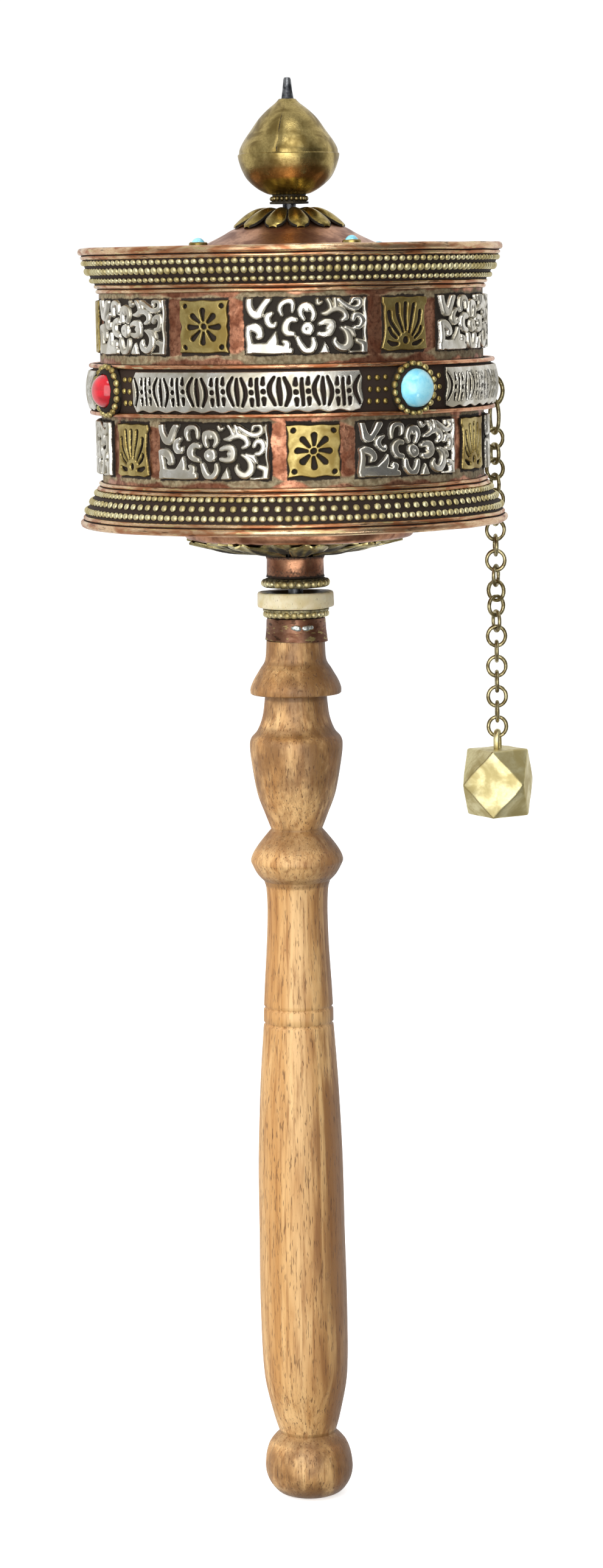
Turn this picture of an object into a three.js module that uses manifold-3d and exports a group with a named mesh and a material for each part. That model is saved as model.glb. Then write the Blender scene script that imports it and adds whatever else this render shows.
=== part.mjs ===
// A hand-held prayer wheel: a drum that spins on an iron spindle above a turned wooden handle, with a weighted
// chain that swings out from the drum. Millimetres, +Z up, origin at the centre of the pommel's flat end.
import * as THREE from 'three';
import { ConvexGeometry } from 'three/addons/geometries/ConvexGeometry.js';
import { mergeVertices } from 'three/addons/utils/BufferGeometryUtils.js';
import Module from 'manifold-3d';

const wasm = await Module();
wasm.setup();

// Fits
const GAP = 0.3; // between neighbours that touch on the real object
const TURN = 2 * Math.PI;

// Heights up the spindle
const TIP_Z = 300;
const BULB_TOP_Z = 295.6;
const BULB_WIDE_Z = 284.3;
const BULB_FOOT_Z = 276.1;
const COLLAR_Z = [274.3, 275.8];
const ROSETTE_TOP_Z = 274;
const LID_Z = 262.4;
const TOP_RIM_Z = [256.6, 265.9];
const UPPER_ROW_Z = [244.4, 255.4];
const BELT_Z = [231.9, 242.5];
const LOWER_ROW_Z = [219.8, 230.9];
const BOTTOM_RIM_Z = [208.7, 218.1];
const DISH_FOOT_Z = 205.6;
const NECK_Z = [197.5, 201.9];
const NECK_RING_Z = [195.4, 197.2];
const WASHER_Z = [191.1, 194.4];
const FERRULE_RING_Z = [189.2, 190.8];
const FERRULE_Z = [184.2, 188.9];
const SPINDLE_FOOT_Z = 150;

// Radii
const SPINDLE_R = 1.55;
const SPINDLE_TOP_R = 1.3;
const BULB_R = 10.2;
const WALL_R = 39.6;
const WALL_THICK = 0.7;
const LID_FLANGE_R = 37.6;
const RIM_R = 43.6;
const RIM_THICK = 1.1;
const BELT_R = 41.5;
const STRIP_R = [41.9, 42.6];
const DISH_R = 24.5;
const DISH_FLAT = 0.5; // from the bottom rim's lip up to the flat of the dish
const DISH_THICK = 0.8;
const NECK_R = 6;
const WASHER_R = 8;
const HANDLE_BORE_R = SPINDLE_R + GAP;

// Ornament
const ROW_COUNT = 6; // plaques, and motifs, in each row
const PLAQUE_ARC = THREE.MathUtils.degToRad(35);
const MOTIF_ARC = THREE.MathUtils.degToRad(16.5);
const ROW_LIFT = { base: 0.5, motif: 0.9, plaque: 1.3 }; // height of each surface above the wall
const UPPER_ROW_TURN = THREE.MathUtils.degToRad(-85.5); // azimuth of the first plaque's middle
const LOWER_ROW_TURN = THREE.MathUtils.degToRad(-54);
const BELT_STONE_HEIGHT = 4.2;
const BELT_STONE_TURNS = [-55, -152, -240, 35].map(THREE.MathUtils.degToRad); // set by hand, so not evenly
const STRIP_TURNS = [-104.7, -196, 77.5, -9.3].map(THREE.MathUtils.degToRad);
const BELT_STONE_Z = 237.2;
const BELT_STONE_R = 4;
const BEZEL_R = 5.2;
const STRIP_ARC = THREE.MathUtils.degToRad(69);
const STRIP_Z = [233.4, 240.9];
const LID_STONE_COUNT = 4;
const LID_STONE_TURN = THREE.MathUtils.degToRad(-56);
const LID_STONE_PLACE_R = 22.4;
const LID_STONE_R = 1.3;
const LID_CUP_R = 1.9;

// Chain
const CHAIN_TURN = THREE.MathUtils.degToRad(23);
const CHAIN_R = 46.4; // from the spindle's axis to the chain's
const EYE = { z: 234.75, reach: 45.9, half: 2.5, drop: 3.1, wire: 0.5 };
const WIRE_GAP = 0.08; // between two wires that hang in each other
const JUMP_RING = { half: 2.15, drop: 3.45, wire: 0.45 };
const LINK_COUNT = 20;
const LINK = { half: 1.93, drop: 2.08, wire: 0.42 };
const LINK_PITCH = 2 * LINK.drop - 2 * LINK.wire - WIRE_GAP;
const WEIGHT = { size: 6.6, stretch: 1.09, turn: THREE.MathUtils.degToRad(-12) };
const LOOP = { half: 1.7, drop: 2.6, wire: 0.65 };

const COLOURS = {
  wood: { color: 0xb98a58, roughness: 0.6, metalness: 0 },
  iron: { color: 0x4a4c50, roughness: 0.45, metalness: 1 },
  brass: { color: 0xa98f4e, roughness: 0.4, metalness: 1 },
  darkBrass: { color: 0x6f5f3a, roughness: 0.5, metalness: 1 },
  paleBrass: { color: 0xd8cb93, roughness: 0.5, metalness: 1 },
  copper: { color: 0xb0714f, roughness: 0.4, metalness: 1 },
  silver: { color: 0xcfcabb, roughness: 0.4, metalness: 1 },
  bone: { color: 0xeee3c0, roughness: 0.6, metalness: 0 },
  paper: { color: 0xe6dcc0, roughness: 0.9, metalness: 0 },
  turquoise: { color: 0x4fb8dc, roughness: 0.25, metalness: 0 },
  coral: { color: 0xc3202a, roughness: 0.25, metalness: 0 },
};

const group = new THREE.Group();

function add(name, geometry, look) {
  const mesh = new THREE.Mesh(geometry, new THREE.MeshStandardMaterial(COLOURS[look]));
  mesh.name = name;
  group.add(mesh);
  return mesh;
}

// The outline runs up the outside and down the inside, as [radius, height] pairs.
function turned(outline, sides, loop = true) {
  const points = outline.map(([r, z]) => new THREE.Vector2(r, z));
  if (loop) points.push(points[0].clone());
  return new THREE.LatheGeometry(points, sides).rotateX(Math.PI / 2);
}

function ring(inner, outer, [low, high], sides) {
  return turned([[inner, low], [outer, low], [outer, high], [inner, high]], sides);
}

// A ring whose outside is round, as a beaded wire's is.
function roundedRing(inner, outer, [low, high], sides) {
  const bulge = (high - low) / 2;
  const middle = (high + low) / 2;
  const outside = [-70, -25, 25, 70].map((deg) => {
    const a = THREE.MathUtils.degToRad(deg);
    return [outer - bulge + bulge * Math.cos(a), middle + bulge * Math.sin(a)];
  });
  return turned([[inner, low], ...outside, [inner, high]], sides);
}

// A wire ring in the XZ plane, centred on the origin and narrower than it is tall.
function wireRing({ half, drop, wire }, steps, sides) {
  const circle = new THREE.TorusGeometry(drop, wire, sides, steps);
  return circle.scale((half + wire) / (drop + wire), 1, 1).rotateX(Math.PI / 2);
}

function solid(geometry) {
  const bare = geometry.clone();
  bare.deleteAttribute('normal');
  bare.deleteAttribute('uv');
  const merged = mergeVertices(bare, 1e-4);
  return new wasm.Manifold(new wasm.Mesh({
    numProp: 3,
    vertProperties: new Float32Array(merged.attributes.position.array),
    triVerts: new Uint32Array(merged.index.array),
  }));
}

function geometryOf(manifold) {
  const mesh = manifold.getMesh();
  const geometry = new THREE.BufferGeometry();
  geometry.setAttribute('position', new THREE.BufferAttribute(mesh.vertProperties, 3));
  geometry.setIndex(new THREE.BufferAttribute(mesh.triVerts, 1));
  return geometry;
}

function extruded(shape, [low, high], curveSegments) {
  const settings = { depth: high - low, bevelEnabled: false, curveSegments };
  return new THREE.ExtrudeGeometry(shape, settings).translate(0, 0, low);
}

// A flower outline seen from above: each petal is a half sine between two notches.
function petalShape(count, notch, reach, pointsEach) {
  const shape = new THREE.Shape();
  for (let i = 0; i < count * pointsEach; i += 1) {
    const t = i / (count * pointsEach);
    const r = notch + (reach - notch) * Math.abs(Math.sin(count * Math.PI * t));
    shape[i ? 'lineTo' : 'moveTo'](r * Math.cos(TURN * t), r * Math.sin(TURN * t));
  }
  shape.closePath();
  return shape;
}

function handle() {
  const top = FERRULE_Z[0];
  const tenon = FERRULE_Z[1] - 1.1;
  return turned([
    [0, 0], [5.2, 0], [6.7, 1.2], [8.3, 2.8], [9.1, 4.5], [9.35, 6.1], [9.05, 9.3], [7.2, 12.6], [6.05, 13.8],
    [7.05, 17.4], [8.5, 23.9], [9, 28.7], [9.2, 33.6], [9.15, 57.6], [8.95, 73.6], [8.3, 89.4], [7.5, 103.3],
    [7.2, 110], [6.5, 121], [6.35, 127], [6.5, 131.8], [6.9, 133.4], [9.1, 136.5], [9.7, 138.1], [8, 141.2],
    [5.4, 144.5], [6.6, 147.4], [8.3, 152], [9.4, 158.2], [9.7, 162.9], [7.8, 165.9], [6.8, 169], [6.45, 172.8],
    [9.5, 173], [9.05, 175.2], [6.3, 180], [5.9, top], [5.2, top], [5.2, tenon], [HANDLE_BORE_R, tenon],
    [HANDLE_BORE_R, SPINDLE_FOOT_Z], [0, SPINDLE_FOOT_Z],
  ], 18, false);
}

function spindle() {
  return turned([
    [0, SPINDLE_FOOT_Z + GAP], [SPINDLE_R, SPINDLE_FOOT_Z + GAP], [SPINDLE_R, COLLAR_Z[0] - 2],
    [SPINDLE_TOP_R, COLLAR_Z[0] - 1], [SPINDLE_TOP_R, BULB_TOP_Z], [0.7, TIP_Z], [0, TIP_Z],
  ], 12, false);
}

function ferrule() {
  const [low, high] = FERRULE_Z;
  const wall = 0.5;
  return turned([
    [6.55 - wall, low], [6.55, low], [5.9 + wall / 2, high], [HANDLE_BORE_R, high], [HANDLE_BORE_R, high - wall],
    [5.2 + GAP, high - wall],
  ], 24);
}

function boneWasher() {
  const [low, high] = WASHER_Z;
  const recess = 5;
  return turned([
    [SPINDLE_R + GAP, low], [WASHER_R - 0.3, low], [WASHER_R, low + 0.3], [WASHER_R, high - 0.3],
    [WASHER_R - 0.3, high], [recess, high], [recess - 0.6, high - 0.9], [SPINDLE_R + GAP, high - 0.9],
  ], 28);
}

// Rolled copper that stands on the dish and carries the lid. The rims slip over its ends.
function drumWall() {
  return ring(WALL_R - WALL_THICK, WALL_R, [BOTTOM_RIM_Z[0] + DISH_FLAT + DISH_THICK + GAP, LID_Z - GAP], 36);
}

// A flared rim with a thin wall. It flares as a quarter of a wave from the drum wall out to the lip.
function flaredRim([low, high], lipAtTop) {
  const steps = 5;
  const narrow = WALL_R + GAP + RIM_THICK;
  const bead = 1.4;
  const flare = [];
  for (let i = 0; i <= steps; i += 1) {
    const t = i / steps;
    flare.push([narrow + (RIM_R - narrow) * Math.sin(t * Math.PI / 2) ** 1.1, (high - low - bead) * t]);
  }
  flare.push([RIM_R, high - low]);
  const inside = flare.map(([r, z]) => [r - RIM_THICK, z]).reverse();
  const outline = [...flare, ...inside];
  if (lipAtTop) return turned(outline.map(([r, z]) => [r, low + z]), 36);
  return turned(outline.map(([r, z]) => [r, high - z]).reverse(), 36);
}

function ornamentRow([low, high], turn) {
  const pieces = [
    { arc: PLAQUE_ARC, lift: ROW_LIFT.plaque, at: 0 },
    { arc: MOTIF_ARC, lift: ROW_LIFT.motif, at: Math.PI / ROW_COUNT },
  ];
  const step = TURN / ROW_COUNT;
  const shape = new THREE.Shape();
  const base = WALL_R + ROW_LIFT.base;
  let angle = turn - PLAQUE_ARC / 2;
  shape.moveTo(base * Math.cos(angle), base * Math.sin(angle));
  for (let k = 0; k < ROW_COUNT; k += 1) {
    pieces.forEach(({ arc, lift, at }) => {
      const middle = turn + k * step + at;
      shape.absarc(0, 0, base, angle, middle - arc / 2, false);
      angle = middle + arc / 2;
      shape.absarc(0, 0, WALL_R + lift, middle - arc / 2, angle, false);
    });
  }
  shape.closePath();
  const hole = new THREE.Path();
  for (let k = 0; k < ROW_COUNT; k += 1) {
    hole.absarc(0, 0, WALL_R + GAP, -k * step, -(k + 1) * step, true);
  }
  shape.holes.push(hole);
  return extruded(shape, [low, high], 3);
}

function belt() {
  const [low, high] = BELT_Z;
  const inner = WALL_R + GAP;
  const wire = 0.45;
  return turned([
    [inner, low], [BELT_R + wire, low + 0.2], [BELT_R + wire, low + 0.9], [BELT_R - 0.4, low + 1.3],
    [BELT_R, low + 3.6], [BELT_R, high - 3.6], [BELT_R - 0.4, high - 1.3], [BELT_R + wire, high - 0.9],
    [BELT_R + wire, high - 0.2], [inner, high],
  ], 36);
}

function beltStrip(middle) {
  const from = middle - STRIP_ARC / 2;
  const to = middle + STRIP_ARC / 2;
  const shape = new THREE.Shape();
  shape.absarc(0, 0, STRIP_R[1], from, to, false);
  shape.absarc(0, 0, STRIP_R[0], to, from, true);
  shape.closePath();
  return extruded(shape, STRIP_Z, 9);
}

// A domed stone on the +Z axis, with its flat back at height zero.
function cabochon(radius, height, sides) {
  const dome = [0.92, 0.7, 0.38].map((share) => [radius * share, height * Math.sqrt(1 - share ** 2)]);
  return turned([[0, 0], [radius, 0], ...dome, [0, height]], sides, false);
}

function bezel() {
  const inner = BELT_STONE_R + GAP;
  return turned([[inner, 0], [BEZEL_R, 0], [BEZEL_R, 1], [BEZEL_R - 0.5, 1.6], [inner, 1.6]], 18);
}

function bottomDish() {
  const flat = BOTTOM_RIM_Z[0] + DISH_FLAT;
  const edge = RIM_R - RIM_THICK - 0.6;
  const thick = DISH_THICK;
  return turned([
    [HANDLE_BORE_R, DISH_FOOT_Z], [DISH_R - 2, DISH_FOOT_Z], [DISH_R - 0.5, DISH_FOOT_Z + 1],
    [DISH_R, flat - 0.6], [DISH_R + 0.8, flat], [edge, flat], [edge, flat + thick], [DISH_R, flat + thick],
    [DISH_R - 2.5, DISH_FOOT_Z + thick], [HANDLE_BORE_R, DISH_FOOT_Z + thick],
  ], 36);
}

// A shallow cone of thin metal, cut to a flower outline.
function rosette(rim, neck, thick, petals, notch) {
  const [rimR, rimZ] = rim;
  const [neckR, neckZ] = neck;
  const way = Math.sign(neckZ - rimZ);
  const skin = [
    [SPINDLE_R + GAP, neckZ], [neckR, neckZ], [rimR, rimZ], [rimR, rimZ - way * thick],
    [neckR, neckZ - way * thick], [SPINDLE_R + GAP, neckZ - way * thick],
  ];
  const cone = turned(way > 0 ? skin.reverse() : skin, 24);
  const low = Math.min(rimZ, neckZ) - 2 * thick;
  const high = Math.max(rimZ, neckZ) + 2 * thick;
  const outline = extruded(petalShape(petals, notch, rimR - 0.1, 6), [low, high], 1);
  return geometryOf(solid(cone).intersect(solid(outline)));
}

function lid() {
  const flange = LID_FLANGE_R;
  const edge = 40.4;
  const thick = 0.8;
  const cover = turned([
    [SPINDLE_R + GAP, 267.2], [10.5, 266.8], [15, 264.8], [21, LID_Z + 0.2], [flange - thick, LID_Z - 0.2],
    [flange - thick, LID_Z - 5], [flange, LID_Z - 5], [flange, LID_Z], [edge, LID_Z], [edge, LID_Z + thick],
    [22.5, LID_Z + 2], [19, 265.6], [16.2, 266.7], [13.8, 268.1], [12.1, 269.1],
    [SPINDLE_R + GAP, 269.2],
  ], 30);
  let whole = solid(cover);
  const cupZ = [LID_Z + 1, LID_Z + 3.4];
  for (let k = 0; k < LID_STONE_COUNT; k += 1) {
    const turn = LID_STONE_TURN + k * TURN / LID_STONE_COUNT;
    const cup = ring(LID_STONE_R + GAP, LID_CUP_R, cupZ, 12);
    cup.translate(LID_STONE_PLACE_R * Math.cos(turn), LID_STONE_PLACE_R * Math.sin(turn), 0);
    whole = whole.add(solid(cup));
  }
  return geometryOf(whole);
}

// Two soldered halves of thin brass, open at the top and foot where the spindle runs through.
function bulb() {
  const bore = SPINDLE_TOP_R + GAP;
  const wall = 0.7;
  const span = [BULB_FOOT_Z, BULB_WIDE_Z, BULB_TOP_Z];
  const outside = [
    [3.4, span[0]], [5.6, 277], [8.2, 279.4], [9.6, 281.9], [BULB_R, span[1]], [9.5, 286.6], [7.7, 289.6],
    [5.4, 292.5], [3.2, 294.5], [1.9, span[2]],
  ];
  const inside = outside.slice(1, -1).map(([r, z]) => [r - wall, z]).reverse();
  return turned([[bore, span[0]], ...outside, [bore, span[2]], [bore, 294.2], ...inside, [bore, 277]], 20);
}

function eye() {
  const loop = wireRing(EYE, 16, 6).translate(EYE.reach, 0, EYE.z);
  const lugReach = [STRIP_R[1] + GAP, EYE.reach - EYE.half + 0.13];
  const lug = new THREE.BoxGeometry(lugReach[1] - lugReach[0], 1.3, 2.1);
  lug.translate((lugReach[0] + lugReach[1]) / 2, 0, EYE.z);
  return geometryOf(solid(loop).add(solid(lug)));
}

// A cube with its corners cut off at the middles of its edges, drawn out a little along its height, and a cast loop.
function castWeight(bodyZ, loopZ) {
  const corners = [];
  for (const [a, b] of [[1, 1], [1, -1], [-1, 1], [-1, -1]]) {
    const long = WEIGHT.stretch;
    corners.push(new THREE.Vector3(a, b, 0));
    corners.push(new THREE.Vector3(a, 0, b * long));
    corners.push(new THREE.Vector3(0, a, b * long));
  }
  corners.forEach((corner) => corner.multiplyScalar(WEIGHT.size));
  const body = new ConvexGeometry(corners).rotateZ(WEIGHT.turn).translate(0, 0, bodyZ);
  const loop = wireRing(LOOP, 12, 6).rotateZ(Math.PI / 2 + WEIGHT.turn).translate(0, 0, loopZ);
  return geometryOf(solid(body).add(solid(loop)));
}

// Handle, ferrule and spindle
add('handle', handle(), 'wood');
add('ferrule', ferrule(), 'copper');
add('ferrule_bead_ring', roundedRing(SPINDLE_R + GAP, 7, FERRULE_RING_Z, 24), 'brass');
add('spindle', spindle(), 'iron');
add('bone_washer', boneWasher(), 'bone');

// Drum
add('drum_wall', drumWall(), 'copper');
add('top_rim_band', flaredRim(TOP_RIM_Z, true), 'copper');
add('bottom_rim_band', flaredRim(BOTTOM_RIM_Z, false), 'copper');
add('upper_ornament_row', ornamentRow(UPPER_ROW_Z, UPPER_ROW_TURN), 'silver');
add('lower_ornament_row', ornamentRow(LOWER_ROW_Z, LOWER_ROW_TURN), 'silver');
add('mid_band', belt(), 'darkBrass');
add('bottom_plate', bottomDish(), 'copper');
add('bottom_rosette', rosette([DISH_R - 2.2, DISH_FOOT_Z - 1], [7, NECK_Z[1] + GAP], 0.8, 10, 22), 'brass');
add('neck_tube', ring(NECK_R - 0.8, NECK_R, NECK_Z, 24), 'copper');
add('neck_bead_ring', roundedRing(SPINDLE_R + GAP, 7.3, NECK_RING_Z, 24), 'brass');
add('core_tube', ring(SPINDLE_R + GAP, 3, [DISH_FOOT_Z + 1.2, LID_Z + 3], 12), 'darkBrass');
add('mantra_scroll', ring(3 + GAP, 35.5, [BOTTOM_RIM_Z[0] + 2.5, LID_Z - 1.2], 28), 'paper');

// Belt stones in their bezels, and a strip of openwork between each two
BELT_STONE_TURNS.forEach((turn, k) => {
  const facing = new THREE.Euler(0, Math.PI / 2, turn, 'ZYX');
  const outward = new THREE.Vector3(Math.cos(turn), Math.sin(turn), 0);
  const setting = add(`band_bezel_${k + 1}`, bezel(), 'brass');
  const colour = k % 2 ? 'coral' : 'turquoise';
  const stone = add(`band_stone_${k + 1}`, cabochon(BELT_STONE_R, BELT_STONE_HEIGHT, 14), colour);
  for (const mesh of [setting, stone]) {
    mesh.rotation.copy(facing);
    mesh.position.copy(outward).multiplyScalar(BELT_R + 2 * GAP).setZ(BELT_STONE_Z);
  }
});
STRIP_TURNS.forEach((turn, k) => add(`band_strip_${k + 1}`, beltStrip(turn), 'silver'));

// Lid
add('lid', lid(), 'copper');
add('top_rosette', rosette([11.4, 270.3], [5.4, ROSETTE_TOP_Z], 0.7, 12, 9.6), 'brass');
for (let k = 0; k < LID_STONE_COUNT; k += 1) {
  const turn = LID_STONE_TURN + k * TURN / LID_STONE_COUNT;
  const stone = add(`lid_stone_${k + 1}`, cabochon(LID_STONE_R, 1.6, 10), 'turquoise');
  stone.position.set(LID_STONE_PLACE_R * Math.cos(turn), LID_STONE_PLACE_R * Math.sin(turn), LID_Z + 2.6);
}

// Finial
add('finial_collar', roundedRing(SPINDLE_TOP_R + GAP, 3.9, COLLAR_Z, 20), 'brass');
add('finial_bulb', bulb(), 'brass');

// Chain: each ring hangs in the foot of the one above, a quarter turn round from it. The upper links lie square to
// the drum, and the chain then twists by a quarter turn on its way down.
function linkTurn(k) {
  const straighten = THREE.MathUtils.smoothstep(k, 5, 9);
  const twist = THREE.MathUtils.smoothstep(k, 8, 15);
  return k * Math.PI / 2 - Math.PI / 2 + CHAIN_TURN * (1 - straighten) - twist * Math.PI / 2;
}

function hang(mesh, z, turn) {
  mesh.position.set(CHAIN_R * Math.cos(CHAIN_TURN), CHAIN_R * Math.sin(CHAIN_TURN), z);
  mesh.rotation.z = turn;
}

const eyeFootZ = EYE.z - EYE.drop * Math.sqrt(1 - ((CHAIN_R - EYE.reach) / EYE.half) ** 2);
const jumpRingZ = eyeFootZ + EYE.wire + JUMP_RING.wire + WIRE_GAP - JUMP_RING.drop;
const firstLinkZ = jumpRingZ - JUMP_RING.drop + JUMP_RING.wire + LINK.wire + WIRE_GAP - LINK.drop;
const lastLinkFootZ = firstLinkZ - (LINK_COUNT - 1) * LINK_PITCH - LINK.drop;
const loopZ = lastLinkFootZ + LINK.wire + LOOP.wire + WIRE_GAP - LOOP.drop;
const weightZ = loopZ - LOOP.drop - WEIGHT.size * WEIGHT.stretch + 1.4;

add('chain_eye', eye(), 'darkBrass').rotation.z = CHAIN_TURN;
hang(add('jump_ring', wireRing(JUMP_RING, 12, 6), 'darkBrass'), jumpRingZ, CHAIN_TURN + Math.PI / 2);
for (let k = 1; k <= LINK_COUNT; k += 1) {
  const name = `chain_link_${String(k).padStart(2, '0')}`;
  hang(add(name, wireRing(LINK, 12, 5), 'darkBrass'), firstLinkZ - (k - 1) * LINK_PITCH, linkTurn(k));
}
hang(add('weight', castWeight(weightZ - loopZ, 0), 'paleBrass'), loopZ, 0);

export default group;
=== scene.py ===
import math

import bmesh
import bpy
import numpy as np
from mathutils import Euler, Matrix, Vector


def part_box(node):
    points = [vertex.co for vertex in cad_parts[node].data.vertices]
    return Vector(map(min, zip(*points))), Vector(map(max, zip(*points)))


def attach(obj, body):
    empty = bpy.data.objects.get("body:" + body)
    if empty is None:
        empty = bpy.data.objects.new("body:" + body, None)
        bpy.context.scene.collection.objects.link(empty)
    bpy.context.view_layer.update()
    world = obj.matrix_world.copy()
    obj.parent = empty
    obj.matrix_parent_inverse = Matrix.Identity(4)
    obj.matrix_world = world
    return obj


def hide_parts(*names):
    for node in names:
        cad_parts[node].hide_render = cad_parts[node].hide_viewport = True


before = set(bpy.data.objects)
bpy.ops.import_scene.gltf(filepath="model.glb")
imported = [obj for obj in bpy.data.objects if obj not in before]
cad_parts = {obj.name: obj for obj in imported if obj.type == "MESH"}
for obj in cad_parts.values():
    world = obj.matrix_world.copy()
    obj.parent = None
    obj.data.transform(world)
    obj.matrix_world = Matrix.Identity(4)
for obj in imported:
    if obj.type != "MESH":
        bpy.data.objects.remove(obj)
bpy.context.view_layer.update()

MM = 0.001
TURN = 2 * math.pi
FRONT = -90


def span(node):
    """A CAD node's lowest and highest corners at rest, in millimetres."""
    low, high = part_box(node)
    return np.array(low) / MM, np.array(high) / MM


def heights(node):
    low, high = span(node)
    return float(low[2]), float(high[2])


def reach(node):
    """The radius of a node that is round about the spindle."""
    return float(span(node)[1][0])


def middle(node):
    low, high = span(node)
    return (low + high) / 2


UP = np.array([0, 0, 1.0])


def outward(azimuth):
    """The level direction away from the spindle."""
    a = math.radians(azimuth)
    return np.array([math.cos(a), math.sin(a), 0])


# ---------------------------------------------------------------- materials

def rgb(code):
    """A linear colour from six hex digits."""
    parts = [int(code[i:i + 2], 16) / 255 for i in (0, 2, 4)]
    return tuple(((p + 0.055) / 1.055) ** 2.4 if p > 0.04045 else p / 12.92 for p in parts) + (1.0,)


class Graph:
    """Short calls for the shader nodes that the looks and the world share."""

    def __init__(self, tree):
        self.tree = tree

    def feed(self, socket, value):
        if isinstance(value, bpy.types.NodeSocket):
            self.tree.links.new(value, socket)
        else:
            socket.default_value = value

    def add(self, kind, inputs, output=0, **settings):
        node = self.tree.nodes.new("ShaderNode" + kind)
        for setting, value in settings.items():
            setattr(node, setting, value)
        for key, value in inputs.items():
            self.feed(node.inputs[key], value)
        return node.outputs[output]

    def scaled(self, vector, factors):
        return self.add("VectorMath", {0: vector, 1: factors}, operation="MULTIPLY")

    def math(self, operation, a, b=0.0):
        return self.add("Math", {0: a, 1: b}, operation=operation)

    def blend(self, share, a, b):
        return self.add("Mix", {0: share, 6: a, 7: b}, 2, data_type="RGBA")

    def plus(self, a, b):
        return self.math("ADD", a, b)

    def minus(self, a, b):
        return self.math("SUBTRACT", a, b)

    def times(self, a, b):
        return self.math("MULTIPLY", a, b)

    def step(self, value, start, end, low=0.0, high=1.0):
        """Goes smoothly from low to high as value goes from start to end."""
        inputs = {0: value, 1: start, 2: end, 3: low, 4: high}
        return self.add("MapRange", inputs, interpolation_type="SMOOTHSTEP")

    def axes(self, vector):
        node = self.tree.nodes.new("ShaderNodeSeparateXYZ")
        self.tree.links.new(vector, node.inputs[0])
        return node.outputs[0], node.outputs[1], node.outputs[2]


class Look(Graph):
    """A material being made. Lengths are in millimetres."""

    def __init__(self, name, **sockets):
        self.material = bpy.data.materials.new(name)
        self.material.use_nodes = True
        super().__init__(self.material.node_tree)
        self.shader = self.tree.nodes["Principled BSDF"]
        for socket, value in sockets.items():
            self.shader.inputs[socket.replace("_", " ")].default_value = value
        place = self.tree.nodes.new("ShaderNodeTexCoord").outputs["Object"]
        self.at = self.scaled(place, (1 / MM, 1 / MM, 1 / MM))

    def noise(self, size, stretch=(1, 1, 1), detail=3.0, rough=0.55, shift=0.0, warp=0.0):
        """Noise whose patches are about size across."""
        spot = self.scaled(self.at, tuple(1 / (size * s) for s in stretch))
        spot = self.add("VectorMath", {0: spot, 1: (shift, shift, shift)}, operation="ADD")
        inputs = {"Vector": spot, "Scale": 1.0, "Detail": detail, "Roughness": rough, "Distortion": warp}
        return self.add("TexNoise", inputs)

    def attribute(self, name):
        return self.add("Attribute", {}, "Fac", attribute_name=name)

    def bump(self, height, depth):
        return self.add("Bump", {"Height": height, "Distance": depth * MM, "Strength": 1.0})

    def done(self, colour=None, roughness=None, normal=None, metallic=None):
        pairs = {"Base Color": colour, "Roughness": roughness, "Normal": normal, "Metallic": metallic}
        for socket, value in pairs.items():
            if value is not None:
                self.feed(self.shader.inputs[socket], value)
        return self.material


def aged_metal(
    name, bright, dull, grime, rough=(0.25, 0.5), patch=6.0, cover=(0.3, 0.62), pits=0.02, flat=1.0,
    solder=None
):
    """Worn metal: bright where hands rub it, dull in patches, and grimy where the relief attribute is low.
    A low flat draws the patches out level, and solder is the colour of streaks that are left on it."""
    look = Look(name)
    patches = look.noise(patch, stretch=(1, 1, flat), warp=0.6)
    fine = look.noise(patch / 9, stretch=(1, 1, flat), detail=4, shift=3)
    tone = look.blend(look.step(patches, 0.38, 0.66), rgb(bright), rgb(dull))
    tone = look.blend(look.step(fine, 0.35, 0.75, 0.0, 0.45), tone, rgb(dull))
    if solder:
        streak = look.noise(patch * 0.6, stretch=(1, 1, flat * 0.6), detail=4, shift=41)
        tone = look.blend(look.step(streak, 0.58, 0.66, 0.0, 0.75), tone, rgb(solder))
        tone = look.blend(look.step(streak, 0.4, 0.33, 0.0, 0.7), tone, rgb(grime))
    relief = look.attribute("relief")
    worn = look.plus(relief, look.times(look.minus(fine, 0.5), 0.5))
    clean = look.step(worn, cover[0], cover[1])
    colour = look.blend(clean, rgb(grime), tone)
    roughness = look.step(patches, 0.3, 0.7, rough[0], rough[1])
    roughness = look.add("Mix", {0: clean, 2: 0.75, 3: roughness}, 0, data_type="FLOAT")
    scratches = look.noise(0.5, stretch=(1, 1, 0.3), detail=5)
    normal = look.bump(scratches, pits)
    metallic = look.step(clean, 0.0, 1.0, 0.35, 1.0)
    return look.done(colour, roughness, normal, metallic)


def around(look):
    """Azimuth about the spindle, in degrees, and height."""
    x, y, z = look.axes(look.at)
    turn = look.math("ARCTAN2", y, x)
    return look.times(turn, 360 / TURN), z


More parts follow.
